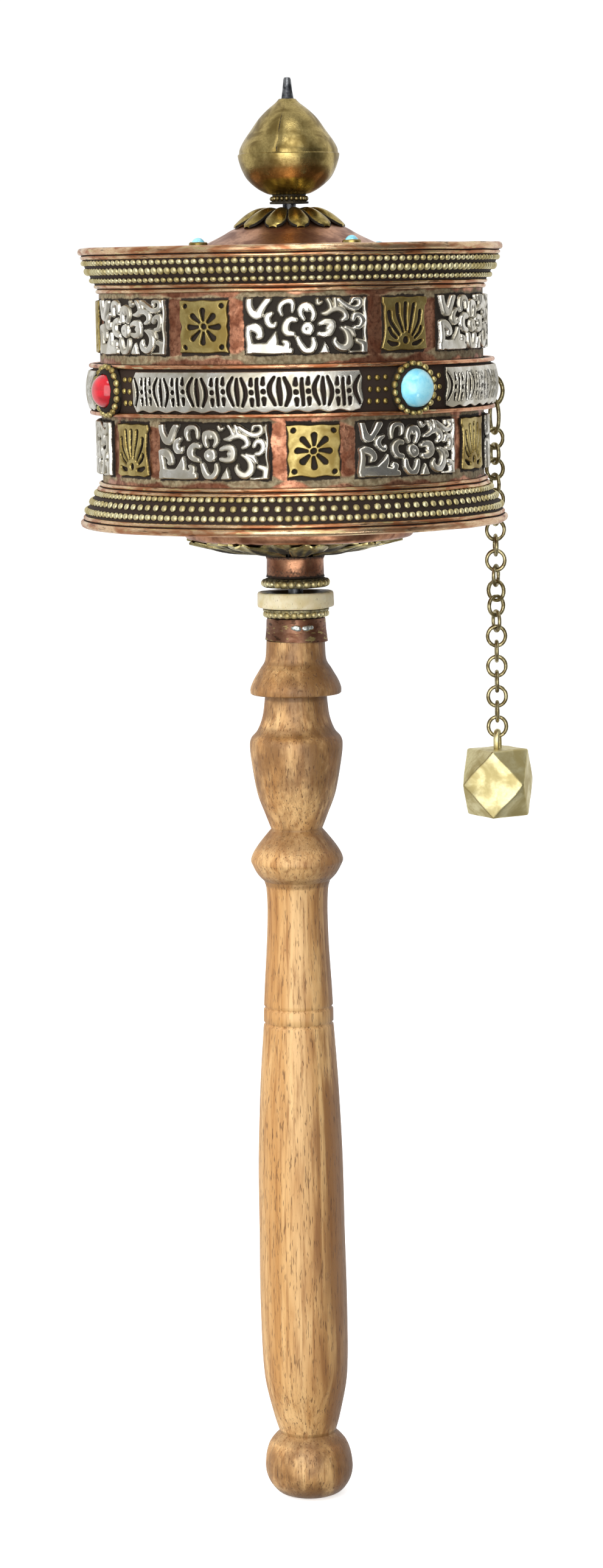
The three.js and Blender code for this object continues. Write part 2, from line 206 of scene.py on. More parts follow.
def wall_copper():
    """Salmon copper with grey flux along its edges and dark seams round each soldered piece."""
    look = Look("wall_copper")
    azimuth, z = around(look)
    cloud = look.noise(5.0, warp=1.0)
    fine = look.noise(0.7, detail=5, shift=7)
    copper = look.blend(look.step(cloud, 0.35, 0.65), rgb("cb9273"), rgb("8f5a42"))
    copper = look.blend(look.step(fine, 0.4, 0.75, 0.0, 0.75), copper, rgb("63382a"))
    gap = None
    plaques = None
    for (low, high), first in ROWS:
        for half, offset in ((PLAQUE_HALF[0], 0), (MOTIF_HALF[0] - 0.7, 30)):
            turned = look.minus(azimuth, first + offset - ROW_STEP / 2)
            wrapped = look.math("FLOORED_MODULO", turned, ROW_STEP)
            across = look.math("ABSOLUTE", look.minus(wrapped, ROW_STEP / 2))
            across = look.times(across, reach("drum_wall") * TURN / 360)
            along = look.math("ABSOLUTE", look.minus(z, (low + high) / 2))
            far = look.math(
                "MAXIMUM", look.minus(across, half), look.minus(along, (high - low) / 2)
            )
            gap = far if gap is None else look.math("MINIMUM", gap, far)
            if offset == 0:
                beside = look.minus(across, half)
                beside = look.math("MAXIMUM", beside, look.minus(along, 8.0))
                plaques = beside if plaques is None else look.math("MINIMUM", plaques, beside)
    ragged = look.minus(gap, look.times(look.minus(cloud, 0.4), 1.0))
    ragged = look.minus(ragged, look.times(look.minus(fine, 0.5), 0.5))
    seam = look.step(ragged, 0.3, 0.0)
    edge = None
    for (low, high), _ in ROWS:
        near = look.math("MINIMUM", look.minus(z, low - 0.4), look.minus(high + 0.2, z))
        near = look.math("ABSOLUTE", near)
        edge = near if edge is None else look.math("MINIMUM", edge, near)
    wide = look.noise(9.0, detail=2, shift=21)
    flux = look.minus(edge, look.step(wide, 0.3, 0.7, 0.0, 1.8))
    flux = look.plus(flux, look.step(plaques, -1.0, 1.5, 0.0, 0.7))
    flux = look.step(look.plus(flux, look.times(fine, 0.6)), 0.95, 0.2)
    residue = look.blend(look.step(look.noise(0.9, shift=31), 0.35, 0.7), rgb("6d674b"), rgb("a9a281"))
    colour = look.blend(look.times(flux, 0.8), copper, residue)
    colour = look.blend(seam, colour, rgb("2e241c"))
    dirty = look.math("MAXIMUM", seam, look.times(flux, 0.8))
    roughness = look.add("Mix", {0: dirty, 2: look.step(cloud, 0.3, 0.7, 0.3, 0.46), 3: 0.8}, 0,
        data_type="FLOAT")
    metallic = look.step(dirty, 0.0, 1.0, 1.0, 0.25)
    normal = look.bump(look.plus(fine, look.times(flux, 0.8)), 0.06)
    return look.done(colour, roughness, normal, metallic)


def turned_wood():
    """Tan hardwood with long dark pores, browner down its right side as a heartwood streak and as painted
    shade, stained by hands and grimy in its grooves.
    """
    look = Look("turned_wood", Coat_Weight=0.15, Coat_Roughness=0.35)
    x, y, z = look.axes(look.at)
    band = look.noise(4.0, stretch=(1, 1, 12), detail=3, warp=0.9)
    streak = look.noise(0.8, stretch=(1, 1, 24), detail=4, rough=0.65, shift=5)
    pore = look.noise(0.3, stretch=(1, 1, 9), detail=2, shift=11)
    cloud = look.noise(16.0, detail=3, shift=17)
    tone = look.blend(look.step(band, 0.3, 0.7), rgb("e0b67c"), rgb("bf8c50"))
    tone = look.blend(look.step(streak, 0.42, 0.75, 0.0, 0.85), tone, rgb("95622f"))
    # Browner down the right side: a heartwood streak, darkened further as painted shade on the side away from
    # the key light.
    heartwood_and_shade = look.plus(x, look.times(look.minus(band, 0.5), 16.0))
    heartwood_and_shade = look.plus(heartwood_and_shade, look.times(look.minus(cloud, 0.5), 10.0))
    tone = look.blend(look.step(heartwood_and_shade, 1.5, 6.5, 0.0, 0.75), tone, rgb("8a5c33"))
    smear = look.noise(6.0, stretch=(1, 1, 1.5), detail=5, rough=0.65, shift=23)
    handled = look.math("MAXIMUM", look.step(z, 125, 160, -0.3, 0.02), look.step(z, 20, 10, -0.3, 0.0))
    stain = look.plus(handled, look.minus(smear, 0.25))
    tone = look.blend(look.step(stain, 0.1, 0.38, 0.0, 0.85), tone, rgb("7a5227"))
    dark = look.step(pore, 0.58, 0.7)
    tone = look.blend(look.times(dark, 0.7), tone, rgb("5a3718"))
    relief = look.attribute("relief")
    worn = look.plus(relief, look.times(look.minus(streak, 0.5), 0.5))
    tone = look.blend(look.step(worn, 0.5, 0.0, 0.0, 0.5), tone, rgb("6b4820"))
    roughness = look.step(streak, 0.3, 0.7, 0.42, 0.6)
    relieved = look.minus(look.times(streak, 0.5), dark)
    return look.done(tone, roughness, look.bump(relieved, 0.06))


def bone():
    look = Look("bone", Coat_Weight=0.1, Coat_Roughness=0.4, Subsurface_Weight=0.1, Subsurface_Scale=0.001)
    cloud = look.noise(4.0, warp=0.5)
    pore = look.noise(0.3, stretch=(1, 1, 2.5), detail=3, shift=3)
    tone = look.blend(look.step(cloud, 0.35, 0.65), rgb("f1e6c4"), rgb("e0cf9c"))
    tone = look.blend(look.step(pore, 0.62, 0.74, 0.0, 0.7), tone, rgb("8f7a4c"))
    # Darkens the bone where the relief attribute is low, which on the washer is its top inside the rim.
    dark_top = look.minus(look.attribute("relief"), look.times(look.noise(1.0, shift=9), 0.5))
    tone = look.blend(look.step(dark_top, 0.25, -0.15), tone, rgb("4a3a26"))
    return look.done(tone, look.step(cloud, 0.3, 0.7, 0.42, 0.6), look.bump(pore, 0.03))


def stone(name, light, deep, vein):
    look = Look(name, Coat_Weight=0.6, Coat_Roughness=0.08)
    cloud = look.noise(2.6, warp=0.6)
    tone = look.blend(look.step(cloud, 0.35, 0.7), rgb(light), rgb(deep))
    line = look.math("ABSOLUTE", look.minus(look.noise(1.4, detail=5, shift=4, warp=1.2), 0.5))
    tone = look.blend(look.step(line, 0.012, 0.0, 0.0, 0.3), tone, rgb(vein))
    relief = look.plus(look.attribute("relief"), look.times(look.noise(0.6, shift=8), 0.35))
    tone = look.blend(look.step(relief, 0.42, 0.15, 0.0, 0.85), tone, rgb("33241a"))
    return look.done(tone, look.step(cloud, 0.3, 0.7, 0.14, 0.24))


def iron():
    look = Look("dark_iron")
    cloud = look.noise(1.6, detail=4)
    fine = look.noise(0.25, detail=4, shift=6)
    tone = look.blend(look.step(cloud, 0.35, 0.65), rgb("8b8d90"), rgb("3d3f44"))
    tone = look.blend(look.step(fine, 0.55, 0.75, 0.0, 0.7), tone, rgb("4b3a2c"))
    return look.done(tone, look.step(cloud, 0.3, 0.7, 0.28, 0.5), look.bump(fine, 0.05), 1.0)


def paper():
    """Rolled paper: its ends show the edges of the turns."""
    look = Look("paper")
    x, y, z = look.axes(look.at)
    out = look.math("SQRT", look.plus(look.times(x, x), look.times(y, y)))
    turns = look.math("SINE", look.times(look.plus(out, look.times(look.noise(9.0), 0.8)), 14.0))
    tone = look.blend(look.step(turns, -0.6, 0.9), rgb("a58f62"), rgb("e6dab6"))
    tone = look.blend(look.step(look.noise(3.0, shift=2), 0.4, 0.75, 0.0, 0.5), tone, rgb("bda878"))
    return look.done(tone, look.step(look.noise(2.0, shift=9), 0.2, 0.8, 0.8, 0.95), look.bump(turns, 0.08))


# ---------------------------------------------------------------- meshes

def wobble(points, size, amount, seed):
    """A smooth, repeatable shift of each point, so that hand work isn't perfectly true."""
    draw = np.random.default_rng(seed)
    points = np.asarray(points, float)
    shift = np.zeros_like(points)
    for _ in range(4):
        way = draw.normal(size=3)
        way /= np.linalg.norm(way) * size * draw.uniform(0.6, 1.5) / TURN
        phase = draw.uniform(0, TURN)
        shift += np.sin(points @ way + phase)[:, None] * draw.normal(size=3)
    return points + shift * amount / 3


def smooth(points, steps=6):
    """A curve through the points, in any number of dimensions."""
    p = np.asarray(points, float)
    p = np.vstack([2 * p[0] - p[1], p, 2 * p[-1] - p[-2]])
    t = np.linspace(0, 1, steps, endpoint=False)[:, None]
    parts = []
    for a, b, c, d in zip(p[:-3], p[1:-2], p[2:-1], p[3:]):
        bend = 2 * a - 5 * b + 4 * c - d
        parts.append(0.5 * (2 * b + (c - a) * t + bend * t**2 + (3 * b - a - 3 * c + d) * t**3))
    return np.vstack([*parts, p[-2:-1]])


def part(name, points, faces, look, body, stands_for=(), relief=None, crease=38):
    """Makes one piece from points in millimetres, and hangs it on its body."""
    mesh = bpy.data.meshes.new(name)
    mesh.from_pydata((np.asarray(points, float) * MM).tolist(), [], faces)
    mesh.validate()
    values = np.ones(len(mesh.vertices)) if relief is None else np.asarray(relief, float)
    mesh.attributes.new("relief", "FLOAT", "POINT").data.foreach_set("value", values.astype(np.float32))
    mesh.polygons.foreach_set("use_smooth", np.ones(len(mesh.polygons), bool))
    mesh.set_sharp_from_angle(angle=math.radians(crease))
    mesh.materials.append(look)
    piece = bpy.data.objects.new(name, mesh)
    bpy.context.scene.collection.objects.link(piece)
    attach(piece, body)
    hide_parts(*stands_for)
    return piece


def joined(*shapes):
    """Several (points, faces, relief) shapes as one."""
    points, faces, relief, start = [], [], [], 0
    for p, f, r in shapes:
        points.append(p)
        relief.append(np.broadcast_to(r, len(p)))
        faces += [tuple(i + start for i in face) for face in f]
        start += len(p)
    return np.vstack(points), faces, np.concatenate(relief)


def lathe(outline, sides=96, relief=None, closed=True):
    """Radius and height pairs turned about the Z axis. A closed outline goes all round a section."""
    outline = np.asarray(outline, float)
    count = len(outline)
    turn = np.arange(sides) * TURN / sides
    r, z = outline[:, 0], outline[:, 1]
    points = np.stack([np.outer(np.cos(turn), r), np.outer(np.sin(turn), r), np.tile(z, (sides, 1))], 2)
    values = np.ones(count) if relief is None else np.asarray(relief, float)
    faces = []
    last = count if closed else count - 1
    for i in range(sides):
        a, b = i * count, (i + 1) % sides * count
        for j in range(last):
            k = (j + 1) % count
            faces.append((a + j, b + j, b + k, a + k))
    points = points.reshape(-1, 3)
    if closed:
        return points, faces, np.tile(values, sides)
    return weld_poles(points, faces, np.tile(values, sides))


def weld_poles(points, faces, relief):
    """Joins the points that lie on the axis, and drops the faces that this leaves flat."""
    on_axis = np.hypot(points[:, 0], points[:, 1]) < 1e-6
    kept, names = {}, np.arange(len(points))
    for i in np.flatnonzero(on_axis):
        names[i] = kept.setdefault(round(points[i, 2], 4), i)
    used = sorted(set(names.tolist()))
    place = {old: new for new, old in enumerate(used)}
    clean = []
    for face in faces:
        ring = []
        for i in face:
            n = place[int(names[i])]
            if n not in ring:
                ring.append(n)
        if len(ring) > 2:
            clean.append(tuple(ring))
    return points[used], clean, np.asarray(relief)[used]


def placed(points, azimuth, radius, z):
    """Moves local points out to a place on the drum: x goes round it, y up and z outwards."""
    out = outward(azimuth)
    side = np.cross(UP, out)
    points = np.asarray(points, float)
    centre = out * radius + UP * z
    return centre + points[:, :1] * side + points[:, 1:2] * UP + points[:, 2:] * out


BEAD_SKIRT = 0.35


def bead_shape(rings=4, sides=10, square=1.0):
    """Half a ball of radius 1 along Z, with a short skirt below. A higher square makes it boxier."""
    turn = np.arange(sides) * TURN / sides
    c, s = np.cos(turn), np.sin(turn)
    flat = np.maximum((abs(c) ** (2 * square) + abs(s) ** (2 * square)) ** (0.5 / square), 1e-9)
    rows = [np.stack([c / flat, s / flat, np.full(sides, -BEAD_SKIRT)], 1)]
    for k in range(rings):
        tilt = k / rings * math.pi / 2
        level = np.full(sides, math.sin(tilt))
        rows.append(np.stack([c / flat * math.cos(tilt), s / flat * math.cos(tilt), level], 1))
    points = np.vstack([*rows, [[0, 0, 1]]])
    faces = []
    for k in range(rings):
        for i in range(sides):
            j = (i + 1) % sides
            faces.append((k * sides + i, k * sides + j, (k + 1) * sides + j, (k + 1) * sides + i))
    top = len(points) - 1
    faces += [(rings * sides + i, rings * sides + (i + 1) % sides, top) for i in range(sides)]
    faces.append(tuple(reversed(range(sides))))
    relief = np.clip(points[:, 2] * 2 + 0.3, 0, 1)
    return points, faces, relief


def beads(places, shape, seed, jitter=0.06):
    """Copies of a bead shape. A place is a centre, an outward way, an upward way, and the bead's size."""
    draw = np.random.default_rng(seed)
    points, faces, relief = shape
    copies = []
    for centre, out, up, size in places:
        side = np.cross(up, out)
        w, h, lift = np.asarray(size) * (1 + draw.uniform(-jitter, jitter, 3))
        slip = draw.uniform(-jitter, jitter, 2) * 0.5
        moved = centre + np.outer(points[:, 0] * w + slip[0], side) + np.outer(points[:, 1] * h + slip[1], up)
        copies.append((moved + np.outer(points[:, 2] * lift, out), faces, relief))
    return joined(*copies)


def ring_of_beads(count, radius, z, tilt, size, start=0.0):
    """Places for beads round the spindle, on a surface that leans back by tilt degrees."""
    lean = math.radians(tilt)
    places = []
    for i in range(count):
        a = TURN * i / count + start
        out = np.array([math.cos(a) * math.cos(lean), math.sin(a) * math.cos(lean), math.sin(lean)])
        up = np.array([-math.cos(a) * math.sin(lean), -math.sin(a) * math.sin(lean), math.cos(lean)])
        places.append((np.array([radius * math.cos(a), radius * math.sin(a), z]), out, up, size))
    return places


def stroke(u, v, line):
    """Signed distance to a tapering line of (u, v, half width) points, negative inside it."""
    line = np.asarray(line, float)
    best = np.full(u.shape, 1e9)
    for a, b in zip(line[:-1], line[1:]):
        way = b[:2] - a[:2]
        t = np.clip(((u - a[0]) * way[0] + (v - a[1]) * way[1]) / max(way @ way, 1e-9), 0, 1)
        far = np.hypot(u - a[0] - t * way[0], v - a[1] - t * way[1])
        best = np.minimum(best, far - a[2] - t * (b[2] - a[2]))
    return best


def dot(u, v, x, y, radius):
    """Signed distance to a disc, negative inside it."""
    return (np.hypot((u - x) / radius, (v - y) / radius) - 1) * radius


def box_gap(u, v, half_u, half_v):
    """Signed distance to a rectangle about the middle."""
    du, dv = abs(u) - half_u, abs(v) - half_v
    return np.hypot(np.maximum(du, 0), np.maximum(dv, 0)) + np.minimum(np.maximum(du, dv), 0)


def plate(half, step, shape, lift, ground, azimuth, z):
    """A sheet of metal soldered to the drum, cut to where shape is negative. Its sides go down to ground,
    the radius that it lies on, and lift gives its height above that and how clean it is."""
    nu, nv = (int(math.ceil(2 * h / step)) + 3 for h in half)
    u, v = np.meshgrid((np.arange(nu) - (nu - 1) / 2) * step, (np.arange(nv) - (nv - 1) / 2) * step)
    gap = shape(u, v)
    dv, du = np.gradient(gap, step)
    steep = np.maximum(du**2 + dv**2, 0.25)
    near = abs(gap) < 0.62 * step
    u = np.where(near, u - gap * du / steep, u)
    v = np.where(near, v - gap * dv / steep, v)
    inside = (gap < 0) | near
    depth = np.where(near, 0, np.maximum(-gap, 0))
    height, relief = lift(u, v, depth)
    index = np.arange(nu * nv).reshape(nv, nu)
    corners = np.stack([index[:-1, :-1], index[:-1, 1:], index[1:, 1:], index[1:, :-1]], -1).reshape(-1, 4)
    held = inside.ravel()[corners]
    quads = corners[held.sum(1) == 4]
    triples = corners[held.sum(1) == 3]
    triples = triples[held[held.sum(1) == 3]].reshape(-1, 3)
    top = [tuple(f) for f in quads.tolist()] + [tuple(f) for f in triples.tolist()]
    used = np.unique(np.concatenate([quads.ravel(), triples.ravel()]))
    place = {int(old): new for new, old in enumerate(used)}
    top = [tuple(place[i] for i in face) for face in top]
    edges = {(f[i], f[(i + 1) % len(f)]) for f in top for i in range(len(f))}
    rim = [(a, b) for a, b in edges if (b, a) not in edges]
    n = len(used)
    walls = [(a, a + n, b + n, b) for a, b in sorted(rim)]
    u, v, height, relief = (x.ravel()[used] for x in (u, v, height, relief))
    base = ground(v)
    turn = math.radians(azimuth) + u / base
    rows = []
    for r in (base + height, base):
        rows.append(np.stack([r * np.cos(turn), r * np.sin(turn), z + v], 1))
    return np.vstack(rows), top + walls, np.concatenate([relief, np.zeros(n)])


def rounded_edge(depth, width):
    """1 away from an edge, falling off as a quarter circle within width of it."""
    t = np.clip(depth / width, 0, 1)
    return np.sqrt(np.maximum(1 - (1 - t) ** 2, 0))


def loop_tube(centre, half, drop, wire, azimuth, steps=28, sides=10, seed=0, flat=1.0):
    """A closed wire ring that hangs in the vertical plane of that azimuth."""
    draw = np.random.default_rng(seed)
    join = draw.uniform(0, TURN)
    side = outward(azimuth)
    face = np.cross(UP, side)
    points = []
    for i in range(steps):
        t = TURN * i / steps
        out = side * math.cos(t) + UP * math.sin(t)
        away = abs((t - join + math.pi) % TURN - math.pi)
        thick = wire * (1 + 0.05 * math.sin(2 * t + join)) * (0.86 if away < 0.12 else 1)
        spot = centre + side * half * math.cos(t) + UP * drop * math.sin(t)
        for j in range(sides):
            s = TURN * j / sides
            points.append(spot + out * thick * math.cos(s) * flat + face * thick * math.sin(s))
    faces = []
    for i in range(steps):
        for j in range(sides):
            k, m = (i + 1) % steps, (j + 1) % sides
            faces.append((i * sides + j, i * sides + m, k * sides + m, k * sides + j))
    points = np.array(points)
    relief = 0.55 + 0.45 * np.clip(np.hypot(*(points - centre)[:, :2].T) / half, 0, 1)
    return points, faces, relief


# ---------------------------------------------------------------- layout

ROW_STEP = 60
PLAQUE_HALF = (12.2, 5.5)
MOTIF_HALF = (5.8, 5.5)
ROWS = [(heights("upper_ornament_row"), -85.5), (heights("lower_ornament_row"), -54)]
WALL_R = reach("drum_wall")
BELT_R = 41.5
STONE_TURNS = [-55, -152, -240, 35]
STRIP_TURNS = [-104.7, -196, 77.5, -9.3]
STRIP_HALF = (25.2, 4.0)
DOT_STEP = 1.75
CORAL = (2, 4)
BEZEL_BEADS = 19
LEAF_R = (6.6, 22.2)
LEAF_ROOT_Z = 202.2
PETAL_R = (4.3, 11.6)
PETAL_ROOT_Z = 273.0
CHAIN_TURN = 23
WEIGHT_SIZE = 6.6
WEIGHT_STRETCH = 1.09
WEIGHT_TURN = -12

COPPER = aged_metal(
    "copper_bright", "e8b088", "b06c46", "33251c", rough=(0.22, 0.42), patch=6, flat=0.3, solder="e6dcae"
)
RIM_COPPER = aged_metal(
    "rim_copper", "efcfa6", "b97c55", "2f2119", rough=(0.24, 0.42), patch=7, flat=0.25, solder="e0cf96"
)
BRASS_BEAD = aged_metal("bead_brass", "efe6bb", "cdbd85", "2c2219", rough=(0.42, 0.55), patch=5)
BEZEL_BRASS = aged_metal("bezel_brass", "d9cb8e", "a8945a", "241c13", rough=(0.36, 0.5), patch=4)
BRASS = aged_metal("antique_brass", "c9b46e", "8f7a42", "2c2416", rough=(0.25, 0.42), patch=4)
MOTIF_BRASS = aged_metal("motif_brass", "cbb878", "9a8349", "2a2117", rough=(0.36, 0.5), patch=5,
    cover=(0.15, 0.5))
SILVER = aged_metal("white_metal", "f2efe6", "c9c3b2", "2b241c", rough=(0.2, 0.4), patch=5,
    cover=(0.22, 0.55))
FLAT_SILVER = aged_metal("white_metal_flat", "efece2", "bdb6a2", "28221b", rough=(0.25, 0.42), patch=6)
CHAIN = aged_metal("chain_brass", "c4b98e", "7a6c48", "2a2418", rough=(0.26, 0.45), patch=1.6)
CAST = aged_metal("cast_brass", "e9dfae", "c8b981", "7a6a3e", rough=(0.35, 0.55), patch=5)
FERRULE = aged_metal("ferrule_copper", "96705a", "77503c", "30241b", rough=(0.4, 0.55), patch=4, flat=0.6,
    solder="c9b87c")
SOLDER = aged_metal("white_solder", "dfe3df", "aeb5ae", "5a5a52", rough=(0.3, 0.5), patch=0.6)
PLAIN_COPPER = aged_metal("copper_plain", "d09a76", "8a5a42", "2f231b", rough=(0.25, 0.42), patch=5)
LEAF_BRASS = aged_metal("leaf_brass", "cfc48e", "8a7a4a", "2a2319", rough=(0.3, 0.5), patch=2.5,
    cover=(0.15, 0.75))
PETAL_BRASS = aged_metal("petal_brass", "c4ae68", "8d7840", "221b12", rough=(0.2, 0.38), patch=3)
DULL_BRASS = aged_metal("collar_brass", "a8986a", "716544", "1e1912", rough=(0.3, 0.45), patch=1.5)
KNOB_BRASS = aged_metal("knob_brass", "c6b071", "84703f", "1f1910", rough=(0.24, 0.38), patch=4)
IRON = iron()
WOOD = turned_wood()
BONE = bone()
PAPER = paper()
TURQUOISE = stone("turquoise", "a9ecfb", "7fd8f4", "56abc9")
CORAL_RED = stone("coral", "cc1226", "a80c1c", "860a15")


# ---------------------------------------------------------------- handle

def make_handle():
    top = heights("handle")[1]
    ends = heights("ferrule")[0]
    pommel = smooth([(4.6, 0), (6.8, 0.9), (8.3, 2.6), (9.1, 4.4), (9.35, 6.3), (9.05, 9), (8.3, 11.2),
        (7.1, 12.8), (6.0, 13.8)])
    grip = smooth([
        (6.0, 13.8), (7.05, 17.4), (8.5, 23.9), (9, 28.7), (9.2, 35), (9.25, 46), (9.1, 57.6), (8.95, 73.6),
        (8.3, 89.4), (7.6, 100), (7.4, 102.6),
    ])
    groove = [(7.1, 102.9), (7.1, 103.2), (7.4, 103.5), (7.35, 106.0), (7.05, 106.3), (7.05, 106.6),
        (7.3, 106.9)]
    waist = smooth([(7.3, 106.9), (7.1, 111), (6.55, 120), (6.35, 127), (6.5, 131.5), (6.9, 133.3)])
    knob = smooth([(6.9, 133.4), (8.3, 134.9), (9.4, 136.9), (9.7, 138), (9.1, 139.6), (7.9, 141.4),
        (6.2, 143.5), (5.4, 144.4)])
    vase = smooth([(5.4, 144.5), (6.6, 147.6), (8.2, 152), (9.3, 158), (9.75, 162), (9.4, 163.8),
        (8.1, 165.4), (7, 168.4), (6.45, 172.8)])
    disc = smooth([(9.5, 173.2), (9.5, 174.2), (8.9, 175.8), (7.5, 178.2), (6.4, 180.2), (6.1, ends)])
    outline = np.vstack([
        [(0, 0)], pommel, grip[1:], groove, waist[1:], knob, vase, [(6.6, 172.95), (9.3, 173.0)], disc,
        [(5.2, ends), (5.2, top), (2.0, top), (2.0, top - 2), (0, top - 2)],
    ])
    r, z = outline.T
    wide = np.array([r[abs(z - h) < 1.6].max() for h in z])
    relief = np.clip(1 - (wide - r) * 0.9, 0, 1)
    points, faces, relief = lathe(outline, 112, relief, closed=False)
    points[:, 0] -= 0.95 * np.sin(math.pi * np.clip(points[:, 2] / 200, 0, 1) ** 0.75)
    part("turned_handle", wobble(points, 30, 0.05, 1), faces, WOOD, "handle", ["handle"],
        relief, 50)


def make_ferrule():
    low, high = heights("ferrule")
    outline = [
        (6.05, low), (6.55, low), (6.5, low + 0.5), (6.3, low + 2.4), (6.15, high - 0.5), (6.0, high),
        (2.1, high),
        (2.1, high - 0.4), (5.6, high - 0.4), (5.7, low + 2),
    ]
    points, faces, relief = lathe(outline, 64)
    edge = np.abs(points[:, 2] - low) < 0.6
    points[edge, 2] -= 0.25 * points[edge, 0] / 6.5
    part("ferrule_cone", wobble(points, 6, 0.06, 2), faces, FERRULE, "handle", ["ferrule"],
        relief)
    blobs = []
    for azimuth, z, size in (
        (FRONT - 1, 3.05, (0.75, 0.42, 0.16)), (FRONT + 3, 2.85, (0.5, 0.4, 0.2)),
        (FRONT + 19, 2.9, (0.65, 0.42, 0.18)),
        (FRONT + 27, 3.05, (0.6, 0.36, 0.16)), (FRONT + 150, 2.6, (0.7, 0.4, 0.16)),
    ):
        out = outward(azimuth) + UP * 0.08
        size = tuple(1.45 * x for x in size)
        blobs.append((out * 6.2 + UP * (low + z - 0.5), out, UP, size))
    points, faces, relief = beads(blobs, bead_shape(4, 12), 3)
    part("ferrule_solder_white", wobble(points, 0.8, 0.06, 4), faces, SOLDER, "handle")
    low, high = heights("ferrule_bead_ring")
    ring = lathe([(2.1, low), (6.3, low), (6.6, low + 0.2), (6.6, high - 0.35), (6.9, high - 0.3),
        (6.9, high), (2.1, high)], 64)
    ring = (ring[0], ring[1], ring[2] * 0.45)
    pearls = beads(ring_of_beads(27, 6.4, (low + high) / 2 - 0.2, 0, (0.73, 0.68, 0.55)), bead_shape(), 5)
    shape = joined(ring, pearls)
    part("ferrule_pearls", shape[0], shape[1], BRASS_BEAD, "handle",
        ["ferrule_bead_ring"], shape[2])


def make_spindle():
    low, high = heights("spindle")
    foot = heights("finial_bulb")[1]
    outline = [(0, low), (1.55, low), (1.55, 272), (1.35, 273.3), (1.35, foot - 0.3)]
    outline += [(1.3, foot), (1.02, foot + 1.6), (0.78, high - 0.5), (0.62, high - 0.1), (0, high)]
    points, faces, relief = lathe(outline, 32, closed=False)
    part("iron_spindle", wobble(points, 2.0, 0.03, 6), faces, IRON, "handle", ["spindle"],
        relief)


def make_washer():
    low, high = heights("bone_washer")
    edge = reach("bone_washer")
    rim = [(edge - 0.35, low), (edge - 0.08, low + 0.15), (edge, low + 0.5), (edge - 0.05, high - 0.5)]
    rim += [(edge - 0.2, high - 0.15), (edge - 0.6, high), (5.3, high - 0.1), (4.7, high - 0.9),
        (1.9, high - 1), (1.9, low)]
    # Low values colour the washer's top inside the rim dark.
    dark_top = [0.7, 0.9, 1, 0.8, 0.45, 0.3, 0.1, 0, 0, 0.5]
    points, faces, relief = lathe(rim, 72, dark_top)
    part("washer_disc", wobble(points, 9, 0.12, 7), faces, BONE, "washer", ["bone_washer"],
        relief, 50)


# ---------------------------------------------------------------- drum

def make_wall():
    low, high = heights("drum_wall")
    points, faces, relief = lathe([(WALL_R, low), (WALL_R, high), (WALL_R - 0.7, high),
        (WALL_R - 0.7, low)], 144)
    part("rolled_wall", points, faces, wall_copper(), "drum", ["drum_wall"], relief)


def rim_section(low, high, lip_on_top, flare):
    """A flared band: a rolled lip, a thin ridge, a dark bed for the beads and two ridges at the wall."""
    tall = high - low
    rows = [
        (39.85, 0.0, 0.3), (40.15, 0.12, 0.9), (40.3, 0.42, 1), (40.15, 0.75, 0.9), (39.9, 0.88, 0.05),
        (39.95, 1.0, 0.05),
        (40.4, 1.1, 0.9), (40.6, 1.4, 1), (40.55, 1.65, 0.9), (40.35, 1.8, 0.05), (40.5, 2.1, 0.0),
        (41.05, 3.0, 0.0), (41.3, 3.6, 0.0), (41.8, 4.5, 0.0), (42.2, 5.3, 0.0), (42.55, 6.2, 0.0),
        (42.65, 6.85, 0.0),
        (42.9, 6.92, 0.8), (43.1, 7.2, 1), (43.1, 7.5, 0.9), (42.85, 7.68, 0.05), (42.95, 7.82, 0.1),
        (43.35, 7.9, 0.9), (43.58, 8.2, 1), (43.6, 8.6, 1), (43.45, 9.05, 1), (43.1, 9.28, 0.9),
        (42.7, 9.3, 0.8),
        (42.4, 9.05, 0.6), (42.1, 8.0, 0.3), (41.4, 5.9, 0.2), (40.3, 3.2, 0.2), (39.7, 1.2, 0.2),
        (39.62, 0, 0.2),
    ]
    scale = tall / 9.3
    wide = [WALL_R + (r - WALL_R) * flare for r, _, _ in rows]
    outline = [(r, low + z * scale) if lip_on_top else (r, high - z * scale) for r,
        (_, z, _) in zip(wide, rows)]
    relief = [c for _, _, c in rows]
    if not lip_on_top:
        outline.reverse()
        relief.reverse()
    return outline, relief


def make_rim(node, lip_on_top, rows, seam, flare):
    low, high = heights(node)
    outline, relief = rim_section(low, high, lip_on_top, flare)
    points, faces, relief = lathe(outline, 180, relief)
    part(node.replace("band", "ridges"), wobble(points, 14, 0.05, 8), faces, RIM_COPPER, "drum",
        [node], relief, 60)
    places = []
    for count, radius, up, tilt, size in rows:
        z = low + up if lip_on_top else high - up
        radius = WALL_R + (radius - WALL_R) * flare
        places += ring_of_beads(count, radius, z, -tilt if lip_on_top else tilt, size,
            start=math.radians(seam))
    shape = bead_shape(4, 10, 1.0 if lip_on_top else 1.25)
    points, faces, relief = beads(places, shape, 9)
    part(node.replace("band", "pearls"), points, faces, BRASS_BEAD, "drum", [node],
        relief, 70)


